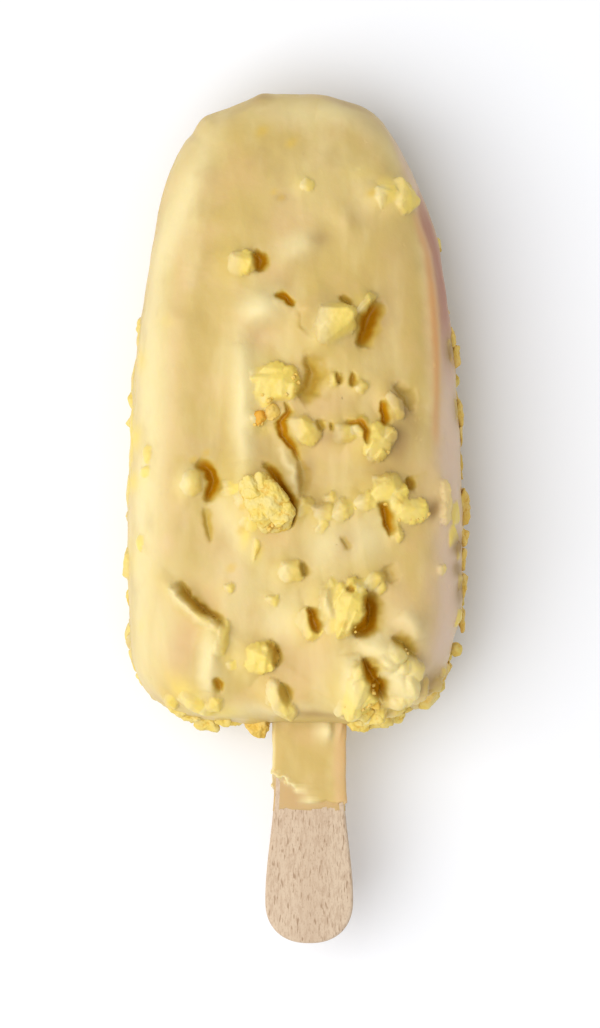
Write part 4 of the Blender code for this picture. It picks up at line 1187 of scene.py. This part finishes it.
@dataclass
class CrumbRule:
    """How a crumb is chopped: uneven corners on a squarish lump, their hull cut into facets."""

    sink: float = 0.42
    squareness: float = 3.2
    jitter: float = 0.45
    corner_reach: tuple[float, float] = (0.96, 1.12)
    highest_corner: float = 0.97
    least_distance: float = 0.15
    outline_waves: float = 0.32
    wave_length: float = 1.3

    def facets(self, crumb: Crumb) -> tuple[np.ndarray, np.ndarray, np.ndarray]:
        """Facets of a crumb's hull: outward normals and distances from its centre, and the centre."""
        draw = random.Random(crumb.name)
        depth = crumb.height / (1 - self.sink)
        golden = math.pi * (3 - math.sqrt(5))
        bm = bmesh.new()
        for i in range(crumb.corners):
            spin = i * golden + draw.uniform(-self.jitter, self.jitter)
            z = 1 - (2 * i + 1) / crumb.corners + draw.uniform(-self.jitter, self.jitter) / 4
            z = max(-self.highest_corner, min(self.highest_corner, z))
            flat = math.sqrt(1 - z * z)
            way = Vector((flat * math.cos(spin), flat * math.sin(spin), z))
            size = sum(abs(c) ** self.squareness for c in way) ** (-1 / self.squareness)
            way *= size * draw.uniform(*self.corner_reach)
            bm.verts.new((way.x * crumb.length / 2, way.y * crumb.width / 2, way.z * depth / 2))
        bmesh.ops.convex_hull(bm, input=bm.verts)
        bmesh.ops.recalc_face_normals(bm, faces=bm.faces)
        normals = np.array([face.normal for face in bm.faces])
        distances = np.array([face.normal.dot(face.verts[0].co) for face in bm.faces])
        bm.free()
        return normals, np.maximum(distances, self.least_distance), np.array((0, 0, crumb.height - depth / 2))

    def top(self, crumb: Crumb, across: np.ndarray, along: np.ndarray, shell: np.ndarray) -> np.ndarray:
        """Height of a crumb over the shell at places of its own frame, none outside its footprint.

        Args:
            crumb: the crumb.
            across: places along its X, in millimetres.
            along: places along its Y.
            shell: heights of the shell along its Z.

        Returns:
            The height at each place.
        """
        normals, distances, centre = self.facets(crumb)
        flat = np.stack([across, along, np.full(across.shape, float(len(crumb.name)))], axis=-1)
        warp = self.outline_waves * fractal_noise(flat, self.wave_length, 2, 7.0)
        level = np.abs((across + warp) / (0.5 * crumb.length)) ** FOOTPRINT_POWER
        level += np.abs((along - warp) / (0.5 * crumb.width)) ** FOOTPRINT_POWER
        if crumb.name.startswith(SOFT_CRUMBS):
            return crumb.height * np.clip(1 - level, 0, None) ** 0.6
        height = crumb.height * 1.3 * np.clip(1 - level, 0, None) ** 0.4
        for normal, distance in zip(normals, distances):
            if normal[2] > 0.25:
                facet = (distance - normal[0] * across - normal[1] * along) / normal[2] + centre[2]
                height = np.minimum(height, facet - shell)
        return height


@dataclass
class Coating:
    """The coated ice cream: its form with swells round the crumbs, cracks, crests and fine unevenness."""

    form: LollyForm
    crumbs: list[Crumb]
    box: tuple[np.ndarray, np.ndarray]
    finish: CoatingFinish = field(default_factory=CoatingFinish)
    rings: int = 560
    face_columns: int = 360
    back_columns: int = 90
    samples: int = 1500
    kept_share: float = 0.39
    uneven_shift: int = 40
    rule: CrumbRule = field(default_factory=CrumbRule)
    swell_shift: float = 0.26
    swell_height: float = 0.72
    crumb_spread: float = 1.12
    fillet: float = 0.7
    fade: tuple[float, float] = (5.0, 11.0)
    kept_below: tuple[tuple[str, float], ...] = (
        ("shade_and_stain", 0.0), ("flank", 0.35), ("tan", 0.15), ("line", 0.0), ("lemon_patch", 0.0),
    )
    grit_size: float = 0.9
    grit_depth: float = 0.11
    waves: tuple[tuple[float, float, int], ...] = ((9.0, 0.30, 2), (3.0, 0.07, 3))

    def build(self) -> bpy.types.Object:
        """Shapes the coating and gives it its finish."""
        base = self.smooth_grid()
        base[..., 0] += self.form.lean(base[..., 0], base[..., 1])
        normals = surface_normals(base)
        face = np.clip(normals[..., 2] * 2.2, 0, 1)
        x, y = base[..., 0], base[..., 1]
        points = base.copy()
        points[..., 2] += np.where(base[..., 2] > self.form.middle_z, self.form.relief(x, y), 0.0)
        lift, marks = self.strokes(x, y, face)
        swell, shown = self.swells(points)
        lift += swell
        marks["lemon"] = shown["lemon"]
        marks["cream"] = np.maximum(marks["cream"], shown["cream_lump"])
        flat = points.reshape(-1, 3)
        grit = fractal_noise(flat, self.grit_size, 2, 60.0).reshape(x.shape)
        lift += shown["lump"] * self.grit_depth * grit
        upper = ramp(base[..., 2], self.fade[0], self.fade[1] - self.fade[0])
        lift += upper * heaped(x, y, RIM_LUMPS)
        for size, depth, octaves in self.waves:
            lift += depth * fractal_noise(flat, size, octaves, size).reshape(x.shape)
        points += normals * lift[..., None]
        points[..., 2] = np.maximum(points[..., 2], 0.0)
        points = np.clip(points, self.box[0], self.box[1])
        marks.update(self.patches(x, y, face, normals))
        # Less cream under the painted shade of the right flank.
        marks["cream"] = marks["cream"] * (1 - 0.85 * marks["flank"])
        facing_up = ramp(normals[..., 2], -0.15, 0.5)
        for mark, least in self.kept_below:
            marks[mark] = marks[mark] * (least + (1 - least) * facing_up)
        ends = np.array([points[0].mean(axis=0), points[-1].mean(axis=0)])
        piece = wrapped_sphere("coating", points, ends, marks)
        thinned = piece.modifiers.new("thinned", "DECIMATE")
        thinned.ratio = self.kept_share
        bpy.ops.object.modifier_apply(modifier=thinned.name)
        piece.data.materials.append(self.finish.material())
        return piece

    def smooth_grid(self) -> np.ndarray:
        """Sections of the smooth form from the tip to the base, evenly spaced along and round them."""
        turns = np.linspace(math.pi / 2, -math.pi / 2, self.samples)
        outline_x, outline_y = self.form.outline_point(turns)
        walked = np.concatenate([[0], np.cumsum(np.hypot(np.diff(outline_x), np.diff(outline_y)))])
        wanted = walked[-1] * np.arange(1, self.rings + 1) / (self.rings + 1)
        levels = np.interp(wanted, walked, outline_y)
        columns = self.face_columns + self.back_columns
        grid = np.empty((self.rings, columns, 3))
        turn = np.linspace(0, math.pi, self.samples)
        for i, y in enumerate(levels):
            edge = float(self.form.width_at(y))
            across = edge * np.cos(turn)
            height = self.form.thickness_at(across, np.full_like(across, y))
            height[0] = height[-1] = 0.0
            arc = np.concatenate([[0], np.cumsum(np.hypot(np.diff(across), np.diff(height)))])
            under = arc[-1] * np.arange(self.back_columns) / self.back_columns
            over = arc[-1] * np.arange(self.face_columns) / self.face_columns
            grid[i, : self.back_columns, 0] = np.interp(under, arc, across)
            grid[i, : self.back_columns, 2] = -np.interp(under, arc, height)
            grid[i, self.back_columns :, 0] = -np.interp(over, arc, across)
            grid[i, self.back_columns :, 2] = np.interp(over, arc, height)
            grid[i, :, 1] = y
        grid[..., 2] += self.form.middle_z
        return grid

    def strokes(self, x: np.ndarray, y: np.ndarray, face: np.ndarray
                ) -> tuple[np.ndarray, dict[str, np.ndarray]]:
        """Height of the cracks and crests, where the cracks get painted amber shade and the crests cream."""
        lift = np.zeros_like(x)
        crack_shade = np.zeros_like(x)
        cream = np.zeros_like(x)
        wobble = fractal_noise(np.stack([x, y, np.zeros_like(x)], axis=-1).reshape(-1, 3), 2.0, 2, 40.0)
        wobble = wobble.reshape(x.shape)
        uneven = 1 + 0.5 * np.roll(wobble, self.uneven_shift, axis=1)
        wobble = wobble * 0.28
        for points, width, depth, lip, tint in CRACKS.values():
            distance, side, share = along_polyline(x + wobble, y + wobble, points)
            ends = tapered(share) * face
            inner = distance / (width * (0.5 + 0.16 * side) * (0.45 + 0.55 * tapered(share)) * uneven)
            lift -= 1.3 * depth * ends * np.exp(-(np.abs(inner) ** 2.2))
            lift += lip * ends * np.exp(-(((distance * side + 0.9 * width) / (0.6 * width)) ** 2))
            crack_shade = np.maximum(crack_shade, tint * np.clip(1.25 * ends * np.exp(-((0.62 * inner) ** 2)), 0, 1))
        for points, width, height in CRESTS.values():
            distance, _, share = along_polyline(x + wobble, y + wobble, points)
            crest = tapered(share) * np.exp(-((distance / (0.5 * width)) ** 2)) * face
            lift += height * crest
            cream = np.maximum(cream, 0.7 * crest)
        return lift, {"crack_shade": crack_shade, "cream": cream}

    def swells(self, points: np.ndarray) -> tuple[np.ndarray, dict[str, np.ndarray]]:
        """Height of the coating over and round the crumbs, gentle on their left and short on their right.

        Args:
            points: the coating before the crumbs, rings by columns by 3.

        Returns:
            The height, and where a crumb shows lemon and where its left side is covered in cream.
        """
        swell = np.zeros(points.shape[:2])
        lump = np.zeros(points.shape[:2])
        lemon = np.zeros(points.shape[:2])
        cream = np.zeros(points.shape[:2])
        for crumb in self.crumbs:
            if crumb.mound == 0.0 and not crumb.coated:
                continue
            centre = np.array(crumb.matrix.translation)
            near = np.linalg.norm(points - centre, axis=2) < 1.6 * crumb.length + 1.0
            turned = np.array(crumb.matrix.to_3x3())
            local = (points[near] - centre) @ turned
            way = turned.T @ (1.0, 0.0, 0.0)
            to_right = (local @ way) / math.sqrt(crumb.length * crumb.width)
            shift = self.swell_shift * math.sqrt(crumb.length * crumb.width)
            u = (local[:, 0] + shift * way[0]) / (0.62 * crumb.length)
            v = (local[:, 1] + shift * way[1]) / (0.62 * crumb.width + 0.3)
            w = local[:, 2] / crumb.length
            steeper = 0.8 + 1.1 * smoothstep(0.5 + to_right)
            spread = np.exp(-(u * u + v * v) * steeper - w * w)
            swell[near] = np.maximum(swell[near], self.swell_height * crumb.mound * crumb.height * spread)
            if crumb.coated:
                grow = 1 / self.crumb_spread
                top = self.rule.top(crumb, local[:, 0] * grow, local[:, 1] * grow, local[:, 2])
                lump[near] = np.maximum(lump[near], np.clip(top, 0, crumb.height * 1.15))
                shown = smoothstep(top / (0.5 * crumb.height))
                bare = 2 * (crumb.lemon > 0.8)
                yellow = crumb.lemon * shown * smoothstep(0.8 + bare + 1.6 * to_right)
                creamy = (1.6 - 1.5 * crumb.lemon) * shown * smoothstep(0.25 - 1.6 * to_right)
                lemon[near] = np.maximum(lemon[near], yellow)
                cream[near] = np.maximum(cream[near], creamy)
            halo = 0.3 * crumb.mound * np.exp(-(u * u + v * v) * 0.7 - w * w)
            lemon[near] = np.maximum(lemon[near], halo)
        gap = swell - lump
        lift = (swell + lump + np.sqrt(gap * gap + self.fillet**2) - self.fillet) / 2
        return lift, {"lemon": lemon, "cream_lump": cream, "lump": np.clip(lump / 0.6, 0, 1)}

    def patches(self, x: np.ndarray, y: np.ndarray, face: np.ndarray, normals: np.ndarray
                ) -> dict[str, np.ndarray]:
        """Where the coating is peach, creamy or lemon, and its painted light and shade: light on the left
        rim, dull brown shade in hollows, mauve and tan shade on the right flank.
        """
        # Painted shade of the right flank, away from the lamp: mauve where it turns over, tan beyond the
        # line.
        high = ramp(y, 6.0, 10.0)
        flank = smoothstep((normals[..., 0] - 0.35 - 0.25 * high) / (0.45 - 0.15 * high))
        flank = flank * ramp(y, self.form.base_y + 3, 8.0)
        upward = FLANK_LINE[::-1]
        line_x = np.interp(y, [point[1] for point in upward], [point[0] for point in upward])
        beyond = ramp(x, line_x, 0.9) * ramp(y, 4.0, 8.0) * ramp(-y, -50.0, 10.0)
        flank = np.maximum(np.maximum(flank, 0.9 * beyond), painted(x, y, FLANK_SHADE_PATCHES))
        specks = np.zeros_like(x)
        for at_x, at_y, size in GOLD_SPECKS:
            specks = np.maximum(specks, spot(x, y, at_x, at_y, size * 1.4, size, 40))
        away, _, share = along_polyline(x, y, FLANK_LINE)
        return {
            "line": 0.9 * np.exp(-((away / FLANK_LINE_WIDTH) ** 2)) * tapered(share),
            "peach": 0.7 * face * painted(x, y, PEACH_PATCHES),
            "cream_and_painted_light": face * painted(x, y, CREAM_AND_LIGHT_PATCHES),
            "shade_and_stain": np.clip(painted(x, y, PAINTED_SHADE_PATCHES), 0, 1),
            "flank": flank,
            "tan": 0.9 * beyond * ramp(y, 14.0, 16.0),
            "speck": specks * face,
            "lemon_patch": painted(x, y, LEMON_PATCHES),
        }


@dataclass
class CrumbCutter:
    """Makes groups of crumbs, each a chopped lump with a granular skin, joined into one piece."""

    finish: CrumbFinish
    box: tuple[np.ndarray, np.ndarray]
    rule: CrumbRule = field(default_factory=CrumbRule)
    corner_softness: float = 18.0
    grain_size: float = 0.34
    grain_depth: float = 0.11
    chip_size: float = 1.5
    chip_depth: float = 0.15
    rim_chips: float = 3.5
    spread: float = 1.2
    material: bpy.types.Material | None = None

    def build(self, name: str, crumbs: list[Crumb], fine: int) -> bpy.types.Object:
        """Cuts every crumb of a group and joins them.

        Args:
            name: the joined piece's name.
            crumbs: the crumbs of the group.
            fine: subdivisions of the largest crumbs.

        Returns:
            One object at the origin.
        """
        self.material = self.material or self.finish.material()
        made = [self.crumb(crumb, fine) for crumb in crumbs]
        deselect_all()
        for piece in made:
            piece.select_set(True)
        bpy.context.view_layer.objects.active = made[0]
        bpy.ops.object.join()
        whole = bpy.context.object
        whole.name = name
        whole.data.name = name
        bpy.ops.object.shade_smooth()
        whole.data.materials.clear()
        whole.data.materials.append(self.material)
        return whole

    def crumb(self, crumb: Crumb, fine: int) -> bpy.types.Object:
        """One crumb in its place."""
        normals, distances, centre = self.rule.facets(crumb)
        level = fine + (crumb.length > 6.0) - (crumb.length < 3.0) - (crumb.length < 1.0)
        deselect_all()
        bpy.ops.mesh.primitive_ico_sphere_add(subdivisions=level, radius=1.0)
        piece = bpy.context.object
        ways = read_points(piece.data)
        ways /= np.linalg.norm(ways, axis=1, keepdims=True)
        facing = np.clip(ways @ normals.T, 0, None) / distances
        radius = (facing**self.corner_softness).sum(axis=1) ** (-1 / self.corner_softness)
        local = ways * radius[:, None] * (self.spread, self.spread, 1.0)
        roughness = 1.5 if crumb.rough else 1.0
        grain = self.grain_size * (0.85 if crumb.rough else 1.0)
        shift = sum(map(ord, crumb.name)) % 97
        cells = cell_noise(local + shift, grain)
        waves = fractal_noise(local, grain * 1.8, 4, float(shift))
        bumps = 0.4 * cells + 0.6 * waves
        chips = fractal_noise(local, self.chip_size, 2, 5.0 + shift) * min(1.0, crumb.length / 5.0)
        broken = self.rim_chips if crumb.rough and 0 < crumb.mound < 0.5 else 1.0
        change = self.grain_depth * roughness * (bumps - 0.25) + self.chip_depth * broken * chips
        local *= (1 + change / np.maximum(radius, 0.8))[:, None]
        turned = np.array(crumb.matrix.to_3x3())
        points = (local + centre) @ turned.T + np.array(crumb.matrix.translation)
        points = np.clip(points, self.box[0], self.box[1])
        pale, orange = tint_of(crumb.name).value
        facing_right = (ways @ turned.T)[:, 0]
        # Painted light and shade: higher on raised grains and chips, lower on the side away from the lamp.
        painted_light = np.clip(0.55 + 0.5 * (bumps - 0.15) + 0.5 * chips - 0.12 * facing_right, 0, 1)
        marks = {"painted_light": painted_light, "pale": np.full_like(painted_light, 0.7 * pale), "orange": np.full_like(painted_light, orange)}
        place_points(piece.data, points, marks)
        return piece


@dataclass
class Stick:
    """A flat wooden stick, a little wider at its handle, its cut edges rounded over."""

    middle_z: float
    x: float = 1.9
    end_y: float = -59.0
    top_y: float = 34.0
    half_thickness: float = 1.0
    neck_half: float = 4.8
    handle_half: float = 6.1
    neck_y: float = -36.5
    widest_y: float = -53.0
    end_power: float = 2.3
    top_round: float = 4.0
    edge: float = 0.45
    steps: int = 40
    finish: WoodFinish = field(default_factory=WoodFinish)

    def half_width(self, y: np.ndarray) -> np.ndarray:
        """Half the width between the two round ends."""
        share = (self.neck_y - np.asarray(y, float)) / (self.neck_y - self.widest_y)
        return self.neck_half + (self.handle_half - self.neck_half) * smoothstep(share)

    def outline(self) -> np.ndarray:
        """Points round the stick, from the middle of the handle's end up its right side and back."""
        quarter = np.linspace(0, math.pi / 2, self.steps + 1)
        power = 2 / self.end_power
        end = [self.handle_half * np.sin(quarter) ** power,
               self.widest_y - (self.widest_y - self.end_y) * np.clip(np.cos(quarter), 0, None) ** power]
        side_y = np.linspace(self.widest_y, self.neck_y, self.steps)[1:]
        side = [self.half_width(side_y), side_y]
        top = [self.neck_half * np.clip(np.cos(quarter), 0, None) ** power,
               self.top_y - self.top_round * (1 - np.sin(quarter) ** power)]
        half = np.concatenate([np.stack(part, axis=1) for part in (end, side, top)])
        return np.concatenate([half, (half * (-1, 1))[-2:0:-1]])

    def build(self) -> bpy.types.Object:
        """Cuts the stick and rounds its edges."""
        outline = self.outline()
        count = len(outline)
        deselect_all()
        bpy.ops.mesh.primitive_cylinder_add(vertices=count, radius=1.0, depth=2.0, end_fill_type="NGON")
        piece = bpy.context.object
        piece.name = "wooden_stick"
        mesh = piece.data
        mesh.name = "wooden_stick"
        for vertex in mesh.vertices:
            index = round(math.atan2(vertex.co.x, vertex.co.y) / (2 * math.pi) * count) % count
            x, y = outline[-index % count]
            vertex.co = Vector((self.x + x, y, self.middle_z + self.half_thickness * vertex.co.z)) * MM
        mesh.update()
        worn = piece.modifiers.new("worn_edges", "BEVEL")
        worn.width = self.edge * MM
        worn.segments = 3
        worn.limit_method = "ANGLE"
        worn.angle_limit = math.radians(60)
        bpy.ops.object.modifier_apply(modifier=worn.name)
        bpy.ops.object.shade_smooth_by_angle(angle=math.radians(50))
        mesh.materials.append(self.finish.material())
        return piece


@dataclass
class StickGlaze:
    """The run of coating round the top of the bare stick, with a ragged rim that sinks into the wood."""

    stick: Stick
    box: tuple[np.ndarray, np.ndarray]
    top_y: float = -26.0
    low_y: float = -42.4
    wall: float = 0.32
    sunk: float = 0.22
    film: float = 0.05
    film_y: float = -40.6
    corner_power: float = 7.0
    rings: int = 150
    columns: int = 260
    rim_steps: tuple[float, ...] = (-3.6, -2.2, -1.4, -0.6, 0.2, 1.0, 1.6, 8.0)
    rim_levels: tuple[float, ...] = (-35.8, -36.2, -36.5, -37.0, -37.9, -38.8, -39.6, -39.7)

    def rim(self, x: np.ndarray, front: np.ndarray) -> np.ndarray:
        """Where the glaze ends at a place across the stick: high on the left, with steps to the right."""
        return np.where(front > 0, np.interp(x, self.rim_steps, self.rim_levels), -38.5 - 0.2 * x)

    def build(self, material: bpy.types.Material) -> bpy.types.Object:
        """Shapes the glaze in the coating's own finish."""
        stick = self.stick
        y = np.linspace(self.top_y, self.low_y, self.rings)[:, None] * np.ones((1, self.columns))
        turn = 2 * math.pi * np.arange(self.columns) / self.columns * np.ones((self.rings, 1))
        across = signed_power(np.cos(turn), 2 / self.corner_power)
        up = -signed_power(np.sin(turn), 2 / self.corner_power)
        x = stick.x + stick.half_width(y) * across
        flat = np.stack([x, y, up], axis=-1).reshape(-1, 3)
        ragged = fractal_noise(flat, 1.1, 3, 3.0).reshape(x.shape)
        rim = self.rim(x, up) + 0.7 * ragged
        above = ramp(y, rim, 0.5)
        filmed = ramp(y, self.film_y + 0.9 * ragged, 0.3)
        stained = filmed * (1 - above)
        thick = -self.sunk + (self.wall + self.sunk) * above
        thick = np.maximum(thick, -self.sunk + (self.film + self.sunk) * filmed)
        thick += 0.22 * np.exp(-(((y - rim - 0.45) / 0.4) ** 2)) * (x < 2.4)
        thick += heaped(x, y, GLAZE_LUMPS) * (up > 0)
        thick += 0.10 * fractal_noise(flat, 2.6, 2, 9.0).reshape(x.shape) * above
        points = np.stack([
            stick.x + (stick.half_width(y) + thick) * across,
            y,
            stick.middle_z + (stick.half_thickness + thick) * up,
        ], axis=-1)
        points = np.clip(points, self.box[0], self.box[1])
        cream = np.clip(np.exp(-(((y - rim - 0.4) / 0.5) ** 2)) * (x < 2.4), 0, 1)
        cream = np.maximum(cream, 1.2 * spot(x, y, 4.0, -29.2, 3.4, 2.0, 88))
        # Painted light: cream along the glaze's left edge, which faces the lamp.
        painted_light_edge = ramp(-(x - stick.x) / stick.neck_half, 0.88, 0.1)
        cream = np.maximum(cream, 0.8 * painted_light_edge * above)
        marks = dict.fromkeys(COATING_MARKS, np.zeros_like(x)) | {
            "cream": np.clip(cream, 0, 1),
            # Painted shade: peach along the right edge; the stained film under the rim is peach of its own.
            "peach": 0.8 * np.maximum(ramp(x, 4.6, 1.2), stained),
            # Painted shadow under the coating's edge at the top of the glaze, and the film's own dull stain.
            "shade_and_stain": np.maximum(0.6 * ramp(y, -27.6, 0.4), 0.34 * stained),
        }
        ends = np.array([(stick.x, self.top_y, stick.middle_z), (stick.x, self.low_y, stick.middle_z)])
        piece = wrapped_sphere("stick_glaze", points, ends, marks)
        piece.data.materials.append(material)
        return piece


@dataclass
class Studio:
    """A white table under a large soft light from the left, seen from straight above. Lengths in metres."""

    finish: FloorFinish = field(default_factory=FloorFinish)
    table_size: float = 4.0
    aim: tuple[float, float, float] = (0.000625, 0.00059, 0.012)
    camera_height: float = 0.9
    shown_height: float = 0.1428
    sensor: float = 36.0
    key_azimuth: float = 198.0
    key_elevation: float = 60.0
    key_distance: float = 1.0
    key_size: float = 1.05
    key_power: float = 9.3
    ambient: float = 0.54

    def build(self) -> bpy.types.Object:
        """Lays the table and sets the lights and the camera."""
        self.light_key()
        self.light_world()
        self.place_camera()
        deselect_all()
        bpy.ops.mesh.primitive_plane_add(size=self.table_size)
        table = bpy.context.object
        table.name = "table_top"
        table.data.materials.append(self.finish.material())
        return table

    def light_key(self) -> None:
        """A square area light that looks at the lolly."""
        azimuth = math.radians(self.key_azimuth)
        elevation = math.radians(self.key_elevation)
        way = Vector((math.cos(azimuth) * math.cos(elevation), math.sin(azimuth) * math.cos(elevation),
                      math.sin(elevation)))
        data = bpy.data.lights.new("key", "AREA")
        data.shape = "SQUARE"
        data.size = self.key_size
        data.energy = self.key_power
        key = bpy.data.objects.new("key", data)
        key.location = way * self.key_distance
        key.rotation_euler = way.to_track_quat("Z", "Y").to_euler()
        bpy.context.scene.collection.objects.link(key)

    def light_world(self) -> None:
        """An even white surround."""
        world = bpy.data.worlds.new("surround")
        world.use_nodes = True
        background = world.node_tree.nodes["Background"]
        background.inputs["Color"].default_value = (1.0, 1.0, 1.0, 1.0)
        background.inputs["Strength"].default_value = self.ambient
        bpy.context.scene.world = world

    def place_camera(self) -> None:
        """Looks straight down at the lolly, its tip at the top of the picture."""
        data = bpy.data.cameras.new("overhead")
        data.sensor_width = self.sensor
        data.sensor_fit = "AUTO"
        data.lens = self.sensor * self.camera_height / self.shown_height
        data.clip_start = 0.01
        camera = bpy.data.objects.new("overhead", data)
        camera.location = Vector(self.aim) + Vector((0, 0, self.camera_height))
        bpy.context.scene.collection.objects.link(camera)
        bpy.context.scene.camera = camera
        bpy.context.scene.view_settings.view_transform = "Standard"


def node_box(node: str) -> tuple[np.ndarray, np.ndarray]:
    """The low and high corner of a solid, in millimetres."""
    low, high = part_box(node)
    return np.array(low) / MM, np.array(high) / MM


def stand_for(piece: bpy.types.Object, node: str, slot: str) -> None:
    """Makes a piece ride on the lolly's body and stand for a solid.

    Args:
        piece: the finished piece.
        node: the solid that it replaces.
        slot: the record's material slot.
    """
    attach(piece, BODY)
    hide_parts(node)
    faces = len(piece.data.polygons)
    log.info("%s: %d faces, stands for %s in slot %s", piece.name, faces, node, slot)


def main() -> None:
    """Builds the lolly and its studio."""
    logging.basicConfig(level=logging.INFO, format="%(message)s")
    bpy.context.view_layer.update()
    form = LollyForm()
    layout = CrumbLayout(form)
    box = node_box(ICE_CREAM_NODE)
    face, rim, back = layout.face(), layout.rim() + layout.flank(), layout.back()
    coating = Coating(form, face + rim + back, box).build()
    stand_for(coating, ICE_CREAM_NODE, COATING_SLOT)
    cutter = CrumbCutter(CrumbFinish(), box)
    bare = [crumb for crumb in face if not crumb.coated or crumb.name in BARE_CRUMBS]
    edge = [crumb for crumb in rim if not crumb.coated]
    for name, crumbs, fine in (("face_crumbs", bare, 5), ("rim_crumbs", edge, 5), ("back_crumbs", back, 4)):
        stand_for(cutter.build(name, crumbs, fine), ICE_CREAM_NODE, COATING_SLOT)
    stick = Stick(form.middle_z)
    stand_for(stick.build(), STICK_NODE, STICK_SLOT)
    glaze = StickGlaze(stick, box).build(coating.data.materials[0])
    stand_for(glaze, ICE_CREAM_NODE, COATING_SLOT)
    table = Studio().build()
    log.info("table laid, light and camera set")


if __name__ == "__main__":
    main()
